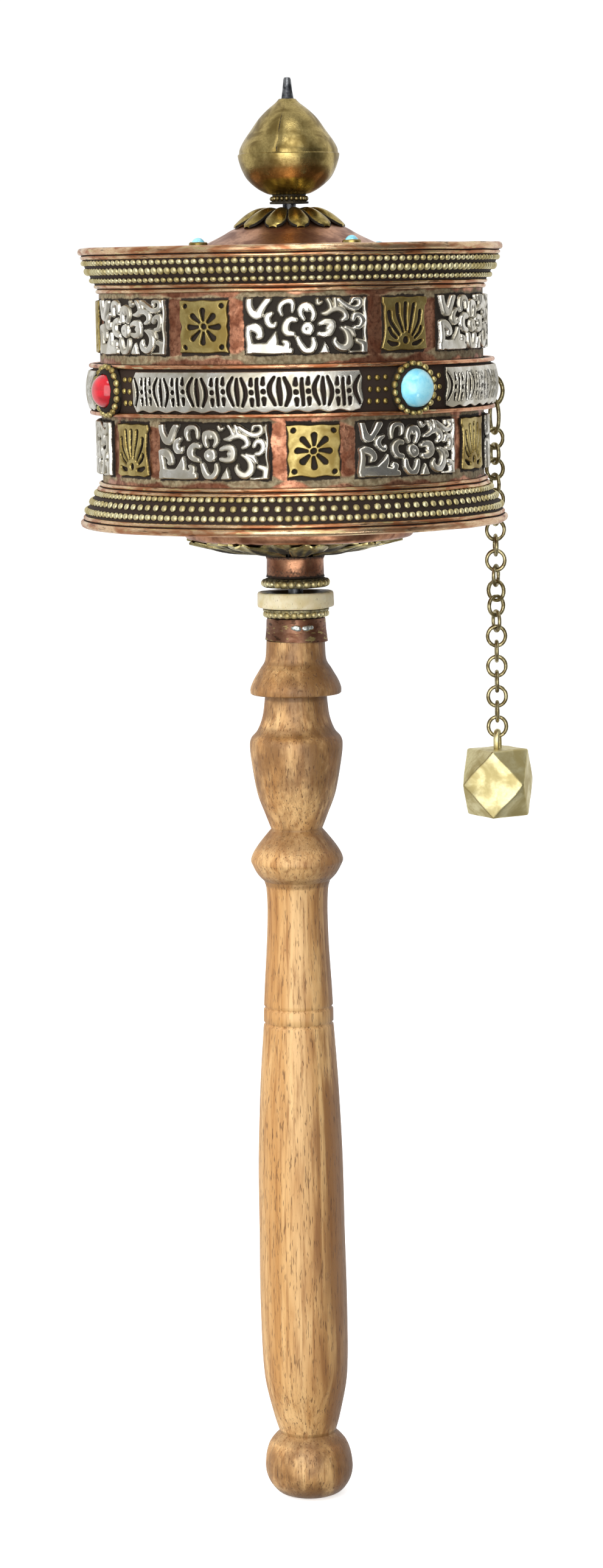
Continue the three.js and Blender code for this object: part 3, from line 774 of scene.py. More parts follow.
# The pressed flower and scrolls, as lines of (u, v, half width) points.
FLOWER = [
    [(-0.75, 1.3, 0.32), (-1.15, 2.4, 0.45), (-0.7, 3.65, 0.5), (0.15, 3.95, 0.48), (1.0, 3.65, 0.5),
    (1.4, 2.4, 0.45), (1.0, 1.3, 0.32)],
    [(2.5, 0.5, 0.35), (3.4, 0.75, 0.48), (4.6, 0.5, 0.55), (5.0, -0.45, 0.58), (4.6, -1.45, 0.52),
    (3.5, -1.75, 0.48), (2.5, -1.5, 0.35)],
    [(-2.3, 1.0, 0.4), (-3.2, 1.2, 0.5), (-3.95, 0.6, 0.65), (-4.1, -0.4, 0.68), (-3.6, -1.35, 0.55),
    (-2.5, -1.7, 0.4)],
    [(-1.7, -2.6, 0.42), (-1.35, -3.7, 0.52), (-0.7, -4.65, 0.55), (0, -4.95, 0.5), (0.8, -4.65, 0.55),
    (1.3, -3.6, 0.5), (1.3, -2.6, 0.4)],
    [(0.15, 3.2, 0.5), (0.15, 3.9, 0.6)], [(4.3, -0.5, 0.5), (4.9, -0.5, 0.6)],
]
SCROLLS = [
    [(-4.85, 2.3, 0.38), (-5.05, 3.4, 0.52), (-4.6, 4.5, 0.6), (-3.5, 4.85, 0.55), (-2.6, 4.4, 0.52),
    (-2.55, 3.4, 0.42), (-2.7, 2.7, 0.3)],
    [(-6.7, 2.6, 0.4), (-7.5, 2.0, 0.6), (-7.7, 1.1, 0.7), (-7.1, 0.2, 0.6), (-6.3, 0.1, 0.45),
    (-6.1, 0.7, 0.35)],
    [(-11.1, 5.2, 0.65), (-10.9, 3.6, 0.7), (-10.3, 2.3, 0.85), (-9.4, 2.1, 0.8), (-8.8, 3.0, 0.68),
    (-8.0, 4.3, 0.68), (-7.4, 5.2, 0.7)],
    [(-11.3, -0.2, 0.6), (-10.2, -0.3, 0.85), (-9.2, -0.9, 0.85), (-8.9, -1.8, 0.7), (-9.4, -2.3, 0.45)],
    [(-11.3, -0.3, 0.5), (-11.2, -2.5, 0.65), (-11.2, -5.2, 0.7)],
    [(-11, -4.4, 1.0), (-9, -4.5, 1.1), (-7, -4.4, 1.2), (-5, -4.7, 1.0), (-3.4, -5.0, 0.7)],
    [(-7.0, -3.8, 1.1), (-6.3, -2.6, 0.8), (-5.9, -1.2, 0.28)],
    [(-4.3, -4.5, 0.85), (-3.9, -3.5, 0.65), (-4.5, -3.0, 0.42)],
    [(3.1, 2.4, 0.32), (4.0, 2.45, 0.5), (5.0, 2.95, 0.58), (6.3, 3.15, 0.62), (7.4, 2.5, 0.6),
    (7.6, 1.5, 0.55), (6.8, 0.9, 0.38)],
    [(5.0, 3.1, 0.48), (4.7, 4.2, 0.42), (4.1, 5.1, 0.38)],
    [(5.9, 3.3, 0.48), (5.7, 4.4, 0.42), (5.5, 5.2, 0.4)],
    [(2.1, 5.1, 0.38), (2.4, 4.4, 0.42), (3.0, 4.6, 0.3)],
    [(6.3, 4.85, 0.45), (7.4, 4.1, 0.55), (8.8, 3.4, 0.55), (10.1, 3.5, 0.52), (10.8, 4.3, 0.5),
    (10.3, 5.2, 0.45), (9.2, 5.2, 0.42), (8.9, 4.5, 0.32)],
    [(9.0, 1.2, 0.45), (9.4, 2.0, 0.5), (10.4, 1.9, 0.58), (10.9, 0.8, 0.58), (10.4, -0.3, 0.52),
    (9.5, -0.4, 0.4)],
    [(6.8, -0.6, 0.32), (7.8, -1.2, 0.55), (8.3, -2.2, 0.68), (8.2, -3.6, 0.78), (7.3, -4.5, 0.72),
    (6.1, -4.3, 0.65), (5.4, -3.4, 0.52), (5.6, -2.7, 0.32)],
    [(7.6, -0.5, 0.35), (8.9, -1.0, 0.5), (9.4, -1.9, 0.42)], [(3.4, -3.3, 0.1), (3.35, -5.2, 1.0)],
    [(9.9, -3.0, 0.5), (11.0, -3.6, 0.6), (11.2, -5.1, 0.6)], [(8.5, -5.3, 0.3), (11.6, -5.3, 0.35)],
    [(11.6, 5.2, 0.3), (11.6, -5.3, 0.28)],
]


def carved(u, v, lines, steps=4):
    """Signed distance to the nearest of several lines."""
    gap = np.full(np.shape(u), 1e9)
    for line in lines:
        gap = np.minimum(gap, stroke(u, v, smooth(line, steps)))
    return gap


def wall_ground(v):
    """The radius of the wall at any height, a little sunk so that nothing floats."""
    return WALL_R - 0.1 + 0 * v


def make_plaque(name, azimuth, z, seed, node):
    draw = np.random.default_rng(seed + 50)
    phase = draw.uniform(0, TURN, 4)
    tall = 0.95 + draw.uniform(-0.08, 0.08)

    def shape(u, v):
        return box_gap(u, v, *PLAQUE_HALF) + 0.06 * np.sin(u * 0.9 + phase[0]) * np.sin(v * 0.8 + phase[1])

    def lift(u, v, depth):
        pu = u + 0.14 * np.sin(v * 1.2 + phase[2])
        pv = v + 0.12 * np.sin(u * 0.8 + phase[3])
        gap = np.minimum(carved(pu, pv, FLOWER) - 0.24, carved(pu, pv, SCROLLS) - 0.12)
        gap = np.minimum(gap, dot(pu, pv, 0.2, -0.6, 1.45))
        raised = rounded_edge(-gap, 0.5)
        dimple = np.exp(-((pu - 0.2) ** 2 + (pv + 0.6) ** 2) / 0.08)
        edge = rounded_edge(depth, 0.22)
        height = 0.35 + tall * (raised * (0.55 + 0.45 * edge) - 0.25 * dimple)
        return height, np.clip(raised * 1.25, 0, 1) * (0.45 + 0.55 * edge) * (1 - 0.6 * dimple)

    points, faces, relief = plate(PLAQUE_HALF, 0.13, shape, lift, wall_ground, azimuth, z)
    part(name, points, faces, SILVER, "drum", [node], relief, 70)


# Two cut ornaments, a palm leaf and a flower. Both are given for their right half.
PALM = {
    "outline": [(5.4, 5.3), (5.4, 4.1), (4.9, 3.4), (4.8, 0), (5.1, -3.2), (5.5, -4.9), (4.0, -5.3),
    (0, -5.2)],
    "cut": [
        [(0, 3.9, 0.42), (0, 1.5, 0.36), (0, -1.2, 0.25)],
        [(2.0, 3.7, 0.42), (1.6, 1.2, 0.36), (0.75, -1.6, 0.25)],
        [(3.7, 2.3, 0.42), (3.3, 0.3, 0.36), (1.6, -2.2, 0.25)],
        [(3.8, -0.9, 0.4), (3.3, -1.9, 0.3), (2.2, -2.8, 0.25)],
        [(0, -3.2, 0.62), (0, -3.3, 0.62)], [(1.9, -4.0, 0.3), (3.0, -3.9, 0.42), (4.0, -3.4, 0.25)],
    ],
}
BLOSSOM = {
    "outline": [(5.4, 5.2), (5.1, 3.6), (5.3, 1.4), (4.9, 0), (5.3, -1.6), (5.0, -3.8), (5.4, -5.2),
    (2.5, -5.0), (0, -5.3)],
    "cut": [
        [(1.3 * math.sin(a), -1.3 * math.cos(a), 0.22), (3.1 * math.sin(a), -3.1 * math.cos(a), 0.52)]
        for a in (0, TURN / 8, TURN / 4, 3 * TURN / 8, TURN / 2)
    ] + [[(0, 0, 0.5), (0, 0.01, 0.5)], [(3.9, 4.1, 0.38), (4.0, 4.0, 0.38)],
    [(3.9, -4.1, 0.38), (4.0, -4.0, 0.38)]],
}


def polygon_gap(u, v, corners):
    """Signed distance to a closed outline, negative inside it."""
    corners = np.asarray(corners, float)
    best, inside = np.full(np.shape(u), 1e9), np.zeros(np.shape(u), bool)
    for a, b in zip(corners, np.roll(corners, -1, 0)):
        way = b - a
        t = np.clip(((u - a[0]) * way[0] + (v - a[1]) * way[1]) / max(way @ way, 1e-9), 0, 1)
        best = np.minimum(best, np.hypot(u - a[0] - t * way[0], v - a[1] - t * way[1]))
        crosses = (a[1] > v) != (b[1] > v)
        inside ^= crosses & (u < a[0] + (v - a[1]) * way[0] / (way[1] if way[1] else 1e-9))
    return np.where(inside, -best, best)


def make_motif(name, azimuth, z, seed, node):
    design = (PALM, BLOSSOM)[seed % 2]
    half = design["outline"]
    outline = half + [(-x, y) for x, y in reversed(half) if x]

    def shape(u, v):
        u = u + 0.1 * np.sin(v + seed)
        v = v + 0.08 * np.sin(1.4 * u + seed)
        return np.maximum(polygon_gap(u, v, outline), -carved(abs(u), v, design["cut"], 5))

    def lift(u, v, depth):
        return 0.35 + 0.5 * rounded_edge(depth, 0.25), 0.15 + 0.85 * np.clip(depth / 0.22, 0, 1)

    points, faces, relief = plate(MOTIF_HALF, 0.085, shape, lift, wall_ground, azimuth, z)
    part(name, points, faces, MOTIF_BRASS, "drum", [node], relief, 70)


def make_rows():
    for row, ((low, high), first) in enumerate(ROWS):
        node = ("upper_ornament_row", "lower_ornament_row")[row]
        label = ("upper", "lower")[row]
        for k in range(6):
            turn = first + k * ROW_STEP
            seed = 10 * row + k
            make_plaque(f"{label}_plaque_{k + 1}", turn, (low + high) / 2, seed, node)
            make_motif(f"{label}_motif_{k + 1}", turn + ROW_STEP / 2, (low + high) / 2, seed, node)


def belt_ground(v):
    """The radius of the bulging belt at a height v from its middle."""
    return BELT_R + 0.35 - 0.75 * (np.asarray(v) / 4.2) ** 2


def make_belt():
    low, high = heights("mid_band")
    mid = (low + high) / 2
    wire = []
    for deg in range(-150, 151, 30):
        a = math.radians(deg)
        wire.append((41.5 + 0.45 * math.cos(a), 0.45 * math.sin(a)))
    inner = WALL_R + 0.15
    foot = [(r, low + 0.5 + z) for r, z in wire]
    head = [(r, high - 0.5 + z) for r, z in wire]
    v = np.linspace(-4.2, 4.2, 15)
    bulge = list(zip(belt_ground(v), mid + v))
    outline = [(inner, low), *foot, *bulge, *head, (inner, high)]
    relief = [0.3] + [0.3, 0.7, *[1] * 7, 0.6, 0.1] + [0.0] * len(bulge) + [0.1, 0.6, *[1] * 7, 0.7,
        0.3] + [0.3]
    points, faces, relief = lathe(outline, 144, relief)
    part("belt_hoop", wobble(points, 16, 0.05, 11), faces, COPPER, "drum", ["mid_band"],
        relief, 60)
    places = []
    strip_half = math.degrees(STRIP_HALF[0] / BELT_R)
    for stone_turn in STONE_TURNS:
        for side in (-1, 1):
            away = [side * ((s - stone_turn + 180) % 360 - 180) for s in STRIP_TURNS]
            room = math.radians(min(a for a in away if a > 0) - strip_half) * BELT_R
            for c in range(max(0, int((room - 5.6) / DOT_STEP + 0.6))):
                a = math.radians(stone_turn) + side * (room - 1.0 - DOT_STEP * c) / BELT_R
                out = np.array([math.cos(a), math.sin(a), 0])
                for v in (-2.3, 0, 2.3):
                    spot = out * float(belt_ground(v)) + UP * (mid + v)
                    places.append((spot, out, UP, (0.55, 0.6, 0.5)))
    points, faces, relief = beads(places, bead_shape(4, 12), 12, 0.1)
    part("belt_dots", points, faces, BRASS, "drum", ["mid_band"], relief * 0.75, 70)


# One span of the openwork, given for its right half: a bud between two petals, two drops about a dot, and
# a slit.
SPAN = 8.4
OPENWORK = [
    [(0, 2.5, 0.2), (0, 0.6, 0.4), (0, -0.8, 0.38), (0, -2.6, 0.2)],
    [(0.95, 2.7, 0.2), (1.7, 1.0, 0.34), (1.75, -0.6, 0.34), (1.0, -2.7, 0.2)],
    [(3.0, 2.6, 0.2), (3.0, 1.5, 0.36)], [(3.0, 0, 0.4), (3.0, -0.05, 0.4)],
    [(3.0, -1.5, 0.36), (3.0, -2.6, 0.2)],
    [(4.2, 2.5, 0.22), (4.2, 0, 0.28), (4.2, -2.6, 0.22)],
]


def make_strips():
    low, high = heights("band_strip_1")
    half_u, half_v = STRIP_HALF
    for k, turn in enumerate(STRIP_TURNS):
        def shape(u, v):
            scallop = 0.22 * np.sin(TURN * u / SPAN * 2 + k) * (v < 0)
            outline = np.maximum(box_gap(u, v + scallop, half_u, half_v),
                abs(u) + 0.45 * abs(v) - half_u - 0.6)
            u = u + 0.12 * np.sin(0.8 * v + k) + 0.2 * np.sin(0.35 * u + 2 * k)
            v = v + 0.12 * np.sin(0.7 * u + k)
            across = abs((u + SPAN / 2) % SPAN - SPAN / 2)
            return np.maximum(outline, -carved(across, v, OPENWORK, 5))

        def lift(u, v, depth):
            return 0.35 + 0.5 * rounded_edge(depth, 0.25), 0.1 + 0.9 * np.clip(depth / 0.18, 0, 1)

        points, faces, relief = plate(STRIP_HALF, 0.095, shape, lift, belt_ground, turn, (low + high) / 2)
        part(f"openwork_{k + 1}", points, faces, FLAT_SILVER, "drum",
            [f"band_strip_{k + 1}"], relief, 70)


def make_belt_stones():
    mid = float(middle("band_stone_1")[2])
    base = BELT_R + 0.5
    for k, turn in enumerate(STONE_TURNS):
        number = k + 1
        is_coral = number in CORAL
        look, slot = (CORAL_RED, "coral") if is_coral else (TURQUOISE, "turquoise")
        girth, dome_height = (3.4, 2.9) if is_coral else (3.9, 3.7)
        cup = [(girth - 0.2, -0.6), (5.3, -0.6), (5.25, 0.1), (4.5, 0.4), (4.3, 0.9), (girth + 0.05, 1.2),
            (girth - 0.2, 0.3)]
        points, faces, relief = lathe(cup, 48)
        ring = [(wobble(points, 1.2, 0.1, k), faces, relief * 0.1)]
        places = []
        for i in range(BEZEL_BEADS):
            a = TURN * i / BEZEL_BEADS
            out = np.array([0.35 * math.cos(a), 0.35 * math.sin(a), 0.94])
            along = np.array([-math.sin(a), math.cos(a), 0])
            places.append((np.array([4.8 * math.cos(a), 4.8 * math.sin(a), 0.3]), out, along,
                (0.66, 0.79, 0.8)))
        ring.append(beads(places, bead_shape(4, 10), 20 + k, 0.1))
        points, faces, relief = joined(*ring)
        points = placed(points, turn, base, mid)
        part(f"bezel_ring_{number}", points, faces, BEZEL_BRASS, "drum",
            [f"band_bezel_{number}"], relief, 70)
        tilts = np.radians(np.linspace(0, 90, 16)[:-1])
        dome = [(0, -0.3), (girth - 0.05, -0.3)]
        dome += [(girth * math.cos(t) ** 0.85, 0.4 + dome_height * math.sin(t)) for t in tilts] + [(0,
            0.4 + dome_height)]
        clean = [0, 0] + [min(1, i / 4) for i in range(len(tilts) + 1)]
        points, faces, relief = lathe(dome, 48, clean, closed=False)
        points = placed(wobble(points, 5, 0.08, k), turn, base, mid)
        part(f"cabochon_{number}", points, faces, look, "drum", [f"band_stone_{number}"], relief, 80)


def make_underside():
    low, high = heights("bottom_plate")
    flat = high - 0.8
    side = smooth([(22.5, low), (23.4, low + 0.3), (23.9, low + 1.0), (24.3, flat - 0.8),
        (24.7, flat - 0.2), (25.8, flat)], 4)
    outline = [(1.9, low), *side, (41.6, flat), (41.6, high), (25, high), (22, low + 0.8), (1.9, low + 0.8)]
    points, faces, relief = lathe(outline, 128)
    points[:, 0] += np.where(np.hypot(points[:, 0], points[:, 1]) < 28, 0.9, 0)
    part("base_dish", wobble(points, 12, 0.08, 13), faces, PLAIN_COPPER, "drum",
        ["bottom_plate"], relief)
    cone = [(6.1, 202.7), (21.6, low + 0.1), (21.6, low + 0.4), (6.1, 203.1)]
    points, faces, relief = lathe(cone, 96)
    part("leaf_seat", points, faces, LEAF_BRASS, "drum", ["bottom_rosette"], relief * 0.2)
    make_leaves("base_leaves", 18, "drum", "bottom_rosette", 14, LEAF_BRASS, base_leaf)
    low, high = heights("neck_tube")
    r = reach("neck_tube")
    tube = [(r - 0.8, low), (r + 0.15, low), (r, low + 0.5), (r - 0.05, high - 0.8), (r + 0.25, high),
        (r - 0.8, high)]
    points, faces, relief = lathe(tube, 64, [0, 0.1, 0.45, 0.62, 0.3, 0])
    part("neck_sleeve", wobble(points, 6, 0.06, 15), faces, PLAIN_COPPER, "drum", ["neck_tube"],
        relief)
    low, high = heights("neck_bead_ring")
    ring = lathe([(1.9, low), (6.5, low), (6.8, low + 0.3), (6.8, high - 0.4), (6.2, high), (1.9, high)], 64)
    ring = (ring[0], ring[1], ring[2] * 0.4)
    pearls = beads(ring_of_beads(26, 6.65, (low + high) / 2 - 0.1, -8, (0.78, 0.78, 0.6)), bead_shape(),
        16, 0.1)
    shape = joined(ring, pearls)
    part("neck_pearls", shape[0], shape[1], BRASS_BEAD, "drum", ["neck_bead_ring"], shape[2])


def make_leaves(name, count, body, node, seed, look, sheet):
    """Leaves or petals round the spindle. sheet(t, s, phase, number) gives one leaf's points, as radius,
    azimuth off its middle in half leaves, height, and how clean it is, for t from root to tip and s from one
    edge to the other."""
    draw = np.random.default_rng(seed)
    thick, size = 0.4, 12
    level, t, s = np.meshgrid((-0.5, 0.5), np.linspace(0, 1, size + 1), np.linspace(-1, 1, size + 1),
        indexing="ij")
    row = size + 1
    layer = row * row
    faces = []
    for i in range(size):
        for j in range(size):
            a = i * row + j
            faces.append((a + layer, a + row + layer, a + row + 1 + layer, a + 1 + layer))
            faces.append((a, a + 1, a + row + 1, a + row))
    rim = list(range(row)) + [i * row + size for i in range(1, row)]
    rim += [size * row + j for j in range(size - 1, -1, -1)] + [i * row for i in range(size - 1, 0, -1)]
    faces += [(b, a, a + layer, b + layer) for a, b in zip(rim, rim[1:] + rim[:1])]
    shapes = []
    for k in range(count):
        turn = math.radians(FRONT + 360 * (k + 0.4) / count + draw.uniform(-1.5, 1.5))
        r, across, z, relief = sheet(t, s, draw.uniform(0, TURN), k)
        a = turn + across * math.pi / count
        points = np.stack([r * np.cos(a), r * np.sin(a), z + level * thick], -1).reshape(-1, 3)
        shapes.append((points, faces, np.clip(relief, 0, 1).ravel()))
    points, faces, relief = joined(*shapes)
    part(name, points, faces, look, body, [node], relief, 45)


def base_leaf(t, s, phase, number):
    """A wavy leaf with a bright edge. Every second one lies higher, and its neighbours lap over it."""
    upper = number % 2
    low = float(heights("bottom_plate")[0])
    r = LEAF_R[0] + (LEAF_R[1] - LEAF_R[0]) * t + 0.35 * np.sin(9 * s + phase) * t
    across = s * 1.45 * (1 - np.maximum(0, t - 0.6) ** 2 * 3.4)
    z = LEAF_ROOT_Z + (low - 0.35 - LEAF_ROOT_Z) * t ** 0.85 + 0.55 * upper
    z = z - 0.75 * (1 - s * s) * np.sin(math.pi * t) + 0.3 * np.sin(8 * t + 5 * s + phase) * t
    ribs = 0.5 + 0.5 * np.sin(13 * s + 2 * t + phase)
    return r, across, z, 0.95 * np.maximum(abs(s), t) ** 7 + 0.55 * ribs * (1 - 0.4 * upper)


def lotus_petal(t, s, phase, number):
    """A spoon with a round tip and a bright rim."""
    r = PETAL_R[0] + (PETAL_R[1] - PETAL_R[0]) * t
    across = s * 0.93 * np.sqrt(np.clip(1 - np.maximum(0, (t - 0.62) / 0.4) ** 2, 0.02, 1))
    bow = 1 - s * s
    z = PETAL_ROOT_Z - 3.4 * t ** 1.5 + 0.9 * bow * np.sin(math.pi * np.minimum(1, t * 0.8 + 0.1))
    return r, across, z, 0.15 + 0.95 * bow ** 0.5


def make_inside():
    low, high = heights("mantra_scroll")
    points, faces, relief = lathe([(3.4, low), (35.5, low), (35.5, high), (30, high + 0.1), (12, high),
        (3.4, high)], 96)
    part("paper_roll", points, faces, PAPER, "drum", ["mantra_scroll"], relief)
    low, high = heights("core_tube")
    points, faces, relief = lathe([(1.9, low), (3, low), (3, high), (1.9, high)], 40)
    part("roll_tube", points, faces, BRASS, "drum", ["core_tube"], relief)


# ---------------------------------------------------------------- lid and finial

LID_STONE_TURN = -56
LID_STONE_PLACE = 22.4


def make_lid():
    low, high = heights("lid")
    base = 262.4
    slope = smooth([
        (22.5, base + 2), (20.6, 264.9), (19, 265.6), (16.2, 266.9), (13.8, 268.1), (12.1, 269.1),
        (10, 270.0), (7, 271.3),
        (4.2, 272.3),
    ], 4)
    outline = [
        (1.9, 267.2), (10.5, 266.8), (15, 264.8), (21, base + 0.4), (36.6, base - 0.2), (36.6, low),
        (37.4, low), (37.4, base),
        (40.2, base), (40.4, base + 0.4), (40.1, base + 0.8), *slope, (1.9, 272.6),
    ]
    points, faces, relief = lathe(outline, 128)
    part("lid_dome", wobble(points, 12, 0.07, 17), faces, PLAIN_COPPER, "lid", ["lid"], relief)
    for k in range(4):
        turn = LID_STONE_TURN + 90 * k
        a = math.radians(turn)
        spot = np.array([LID_STONE_PLACE * math.cos(a), LID_STONE_PLACE * math.sin(a),
            0.2 if math.sin(a) < 0 else -0.9])
        cup = lathe([(1.25, 263.2), (2.1, 263.1), (2.0, 265.0), (1.85, 266.3), (1.6, 266.5), (1.4, 266.1),
            (1.3, 265.2)], 32)
        points = wobble(cup[0], 1.5, 0.08, 30 + k) + spot
        part(f"lid_cup_{k + 1}", points, cup[1], BRASS, "lid", ["lid"],
            np.clip((points[:, 2] - 263.5) / 2, 0.1, 1))
        tilts = np.radians(np.linspace(0, 90, 9))
        dome = [(0, 265.3), (1.25, 265.3)] + [(1.5 * math.cos(t) if t < 1.57 else 0,
            265.7 + 1.7 * math.sin(t)) for t in tilts]
        points, faces, relief = lathe(dome, 28, closed=False)
        part(f"lid_cabochon_{k + 1}", points + spot, faces, TURQUOISE, "lid",
            [f"lid_stone_{k + 1}"], relief, 80)
    make_leaves("lotus_petals", 12, "lid", "top_rosette", 18, PETAL_BRASS, lotus_petal)


def make_finial():
    low, high = heights("finial_collar")
    top = heights("finial_bulb")[0] + 0.6
    ring = lathe([(1.65, low), (4, low), (4, low + 0.4), (3.5, low + 0.5), (3.4, high), (3.6, top),
        (1.65, top)], 48)
    ring = (ring[0], ring[1], ring[2] * 0.35)
    pearls = beads(ring_of_beads(22, 3.5, (low + high) / 2 + 0.3, 0, (0.45, 0.55, 0.5)), bead_shape(), 19)
    shape = joined(ring, pearls)
    part("collar_pearls", shape[0], shape[1], DULL_BRASS, "finial", ["finial_collar"],
        shape[2])
    low, high = heights("finial_bulb")
    belly = smooth([(3.3, low), (4.6, low + 0.35), (6.6, low + 1.5), (8.6, low + 3.3), (9.7, low + 5.2),
        (10.25, 283), (10.45, 284), (10.45, 284.4)])
    crown = smooth([(10.2, 284.55), (10, 285.6), (9.1, 287.3), (7.6, 289.4), (5.9, 291.7), (4.1, 293.5),
        (2.5, 294.8), (1.75, high)])
    outline = np.vstack([belly, crown, [(1.6, high), (1.6, high - 2), (8, 287), (8, 281), (1.6, low)]])
    points, faces, relief = lathe(outline, 160)
    turn = np.degrees(np.arctan2(points[:, 1], points[:, 0]))
    seam = np.exp(-(((turn - FRONT + 13 + 0.9 * np.sin(points[:, 2])) / 1.7) ** 2)) * (points[:, 2] > 284.6)
    outside = np.hypot(points[:, 0], points[:, 1]) > 8.05
    seam = seam * (outside | (points[:, 2] > 289))
    points[:, :2] *= 1 - 0.02 * seam[:, None]
    part("onion_knob", wobble(points, 9, 0.08, 21), faces, KNOB_BRASS, "finial",
        ["finial_bulb"], 1 - 0.7 * seam, 50)


# ---------------------------------------------------------------- chain

def ring_azimuth(node):
    """The azimuth of the plane that a hanging CAD ring lies in."""
    points = np.array([v.co[:2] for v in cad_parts[node].data.vertices])
    values, ways = np.linalg.eigh(np.cov((points - points.mean(0)).T))
    return math.degrees(math.atan2(ways[1, 1], ways[0, 1]))


def make_chain():
    out = outward(CHAIN_TURN)
    z = float(middle("chain_eye")[2])
    loop = loop_tube(out * 45.9 + UP * z, 2.5, 3.1, 0.5, CHAIN_TURN, 36, 10, 40)
    lug = beads([(out * 42.4 + UP * z, out, UP, (0.7, 1.1, 1.3))], bead_shape(), 41)
    shape = joined(loop, lug)
    part("drum_eye", shape[0], shape[1], CHAIN, "drum", ["chain_eye"], shape[2], 70)
    rings = [("jump_ring", 0.45)] + [(f"chain_link_{k:02d}", 0.42) for k in range(1, 21)]
    for number, (node, wire) in enumerate(rings):
        low, high = span(node)
        centre = (low + high) / 2
        drop = (high[2] - low[2]) / 2 - wire
        half = 2.15 if node == "jump_ring" else 1.93
        points, faces, relief = loop_tube(centre, half, drop, wire, ring_azimuth(node), 28, 10, number)
        name = "long_ring" if node == "jump_ring" else node.replace("chain_link", "link")
        part(name, points, faces, CHAIN, node, [node], relief, 70)


def make_weight():
    low, high = span("weight")
    mid = np.array([(low[0] + high[0]) / 2, (low[1] + high[1]) / 2, low[2] + WEIGHT_SIZE * WEIGHT_STRETCH])
    turn = math.radians(WEIGHT_TURN)
    corners = []
    for p, q in ((1, 1), (1, -1), (-1, 1), (-1, -1)):
        corners += [(p, q, 0), (p, 0, q * WEIGHT_STRETCH), (0, p, q * WEIGHT_STRETCH)]
    shell = bmesh.new()
    for corner in corners:
        shell.verts.new(Vector(corner) * WEIGHT_SIZE)
    bmesh.ops.convex_hull(shell, input=shell.verts)
    bmesh.ops.dissolve_limit(shell, angle_limit=0.01, verts=shell.verts, edges=shell.edges)
    bmesh.ops.bevel(shell, geom=list(shell.edges), offset=0.35, segments=3, profile=0.6, affect="EDGES",
        clamp_overlap=True)
    bmesh.ops.triangulate(shell, faces=shell.faces)
    bmesh.ops.subdivide_edges(shell, edges=shell.edges, cuts=3, use_grid_fill=True)
    bmesh.ops.recalc_face_normals(shell, faces=shell.faces)
    shell.verts.index_update()
    points = np.array([v.co[:] for v in shell.verts])
    faces = [tuple(v.index for v in f.verts) for f in shell.faces]
    shell.free()
    c, s = math.cos(turn), math.sin(turn)
    points = points @ np.array([[c, s, 0], [-s, c, 0], [0, 0, 1]]) + mid
    points = wobble(wobble(points, 5, 0.1, 50), 1.2, 0.03, 51)
    centre = np.array([mid[0], mid[1], high[2] - 3.25])
    loop = loop_tube(centre, 1.7, 2.6, 0.65, 90 + WEIGHT_TURN, 28, 10, 52, 0.7)
    shape = joined((points, faces, np.ones(len(points))), loop)
    part("cast_weight", shape[0], shape[1], CAST, "weight", ["weight"], shape[2], 30)


make_handle()
make_ferrule()
make_spindle()
make_washer()
make_wall()
make_rim("top_rim_band", True, [
    (157, 41.0, 2.65, 30, (0.7, 0.56, 0.5)), (157, 41.85, 4.45, 26, (0.76, 0.8, 0.6)),
    (157, 42.55, 6.2, 16, (0.72, 0.58, 0.5)),
], -84, 1.05)
make_rim("bottom_rim_band", False, [
    (157, 40.8, 2.3, 30, (0.7, 0.6, 0.5)), (118, 41.65, 4.05, 28, (0.72, 0.7, 0.5)),
    (157, 42.5, 5.9, 16, (0.74, 0.66, 0.5)),
], -18, 1.2)
make_rows()
make_belt()
make_strips()
make_belt_stones()
make_underside()
make_inside()
make_lid()
make_finial()
make_chain()
make_weight()


# ---------------------------------------------------------------- stage, light and camera

def make_floor():
    """White paper that only the camera sees, so that the metals mirror the room instead."""
    size = 6.0
    mesh = bpy.data.meshes.new("floor")
    mesh.from_pydata([(-size, -size, 0), (size, -size, 0), (size, size, 0), (-size, size, 0)], [],
        [(0, 1, 2, 3)])
    look = Look("floor_paper", Emission_Color=(1, 1, 1, 1), Emission_Strength=0.62)
    tone = look.blend(look.step(look.noise(400.0), 0.3, 0.7), rgb("fbfbfa"), rgb("f7f7f6"))
    mesh.materials.append(look.done(tone, look.step(look.noise(90.0), 0.3, 0.7, 0.85, 0.95)))
    floor = bpy.data.objects.new("floor", mesh)
    bpy.context.scene.collection.objects.link(floor)
    floor.visible_glossy = False
    floor.visible_diffuse = False


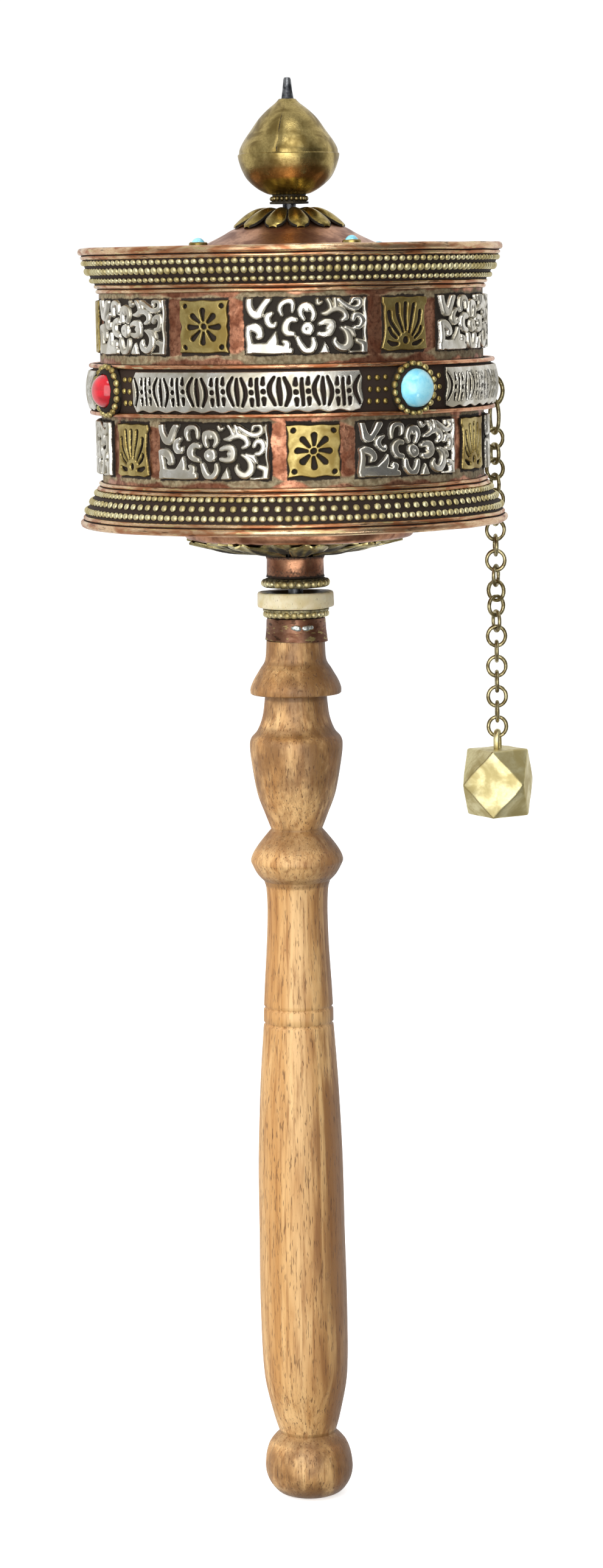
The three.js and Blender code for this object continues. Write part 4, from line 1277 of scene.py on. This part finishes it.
def make_light(name, turn, tilt, far, size, glow, aim=(0, 0, 0.2), mirrored=True):
    """A soft light at an azimuth and elevation from what it is aimed at, as bright as glow all over."""
    lamp = bpy.data.lights.new(name, "AREA")
    lamp.shape = "RECTANGLE"
    lamp.size, lamp.size_y = size
    lamp.energy = glow * size[0] * size[1] * math.pi
    thing = bpy.data.objects.new(name, lamp)
    a, b = math.radians(turn), math.radians(tilt)
    way = Vector((math.cos(a) * math.cos(b), math.sin(a) * math.cos(b), math.sin(b)))
    thing.location = Vector(aim) + way * far
    thing.rotation_euler = way.to_track_quat("Z", "Y").to_euler()
    thing.visible_camera = False
    thing.visible_glossy = mirrored
    bpy.context.scene.collection.objects.link(thing)


def make_world():
    """White to the camera. The wheel sees white paper behind it, and a room in front that dims to the right."""
    world = bpy.data.worlds.new("studio")
    world.use_nodes = True
    graph = Graph(world.node_tree)
    way = world.node_tree.nodes.new("ShaderNodeTexCoord").outputs["Generated"]
    x, y, z = graph.axes(way)
    paper_share = graph.step(y, -0.25, 0.45)
    room = graph.step(x, -0.9, 0.8, 0.5, 0.12)
    room = graph.plus(room, graph.step(z, 0.3, 0.9, 0.0, 0.12))
    glow = graph.add("Mix", {0: paper_share, 2: room, 3: 0.85}, 0, data_type="FLOAT")
    seen = graph.add("LightPath", {}, "Is Camera Ray")
    glow = graph.add("Mix", {0: seen, 2: glow, 3: 1.1}, 0, data_type="FLOAT")
    world.node_tree.links.new(glow, world.node_tree.nodes["Background"].inputs[0])
    bpy.context.scene.world = world


LENS = 87.8
CAMERA_AT = (0.0023, -0.796, 0.260)
CAMERA_DOWN = 7.6
CAMERA_ROLL = 0.95


def make_camera():
    lens = bpy.data.cameras.new("camera")
    lens.lens = LENS
    lens.sensor_width = 36
    lens.clip_start, lens.clip_end = 0.01, 50
    camera = bpy.data.objects.new("camera", lens)
    camera.location = CAMERA_AT
    camera.rotation_euler = Euler((math.radians(90 - CAMERA_DOWN), math.radians(CAMERA_ROLL), 0), "XYZ")
    bpy.context.scene.collection.objects.link(camera)
    bpy.context.scene.camera = camera


make_floor()
make_light("front", -95, 6, 1.1, (1.0, 1.35), 2.4)
make_light("left", -150, 22, 1.2, (1.3, 1.3), 2.4, mirrored=False)
make_light("top", -76, 60, 0.9, (0.4, 0.28), 3.5)
make_light("low", -60, -33, 0.36, (0.07, 0.07), 5.0, aim=(0, 0, 0.24))
make_world()
make_camera()
bpy.context.scene.view_settings.view_transform = "Standard"
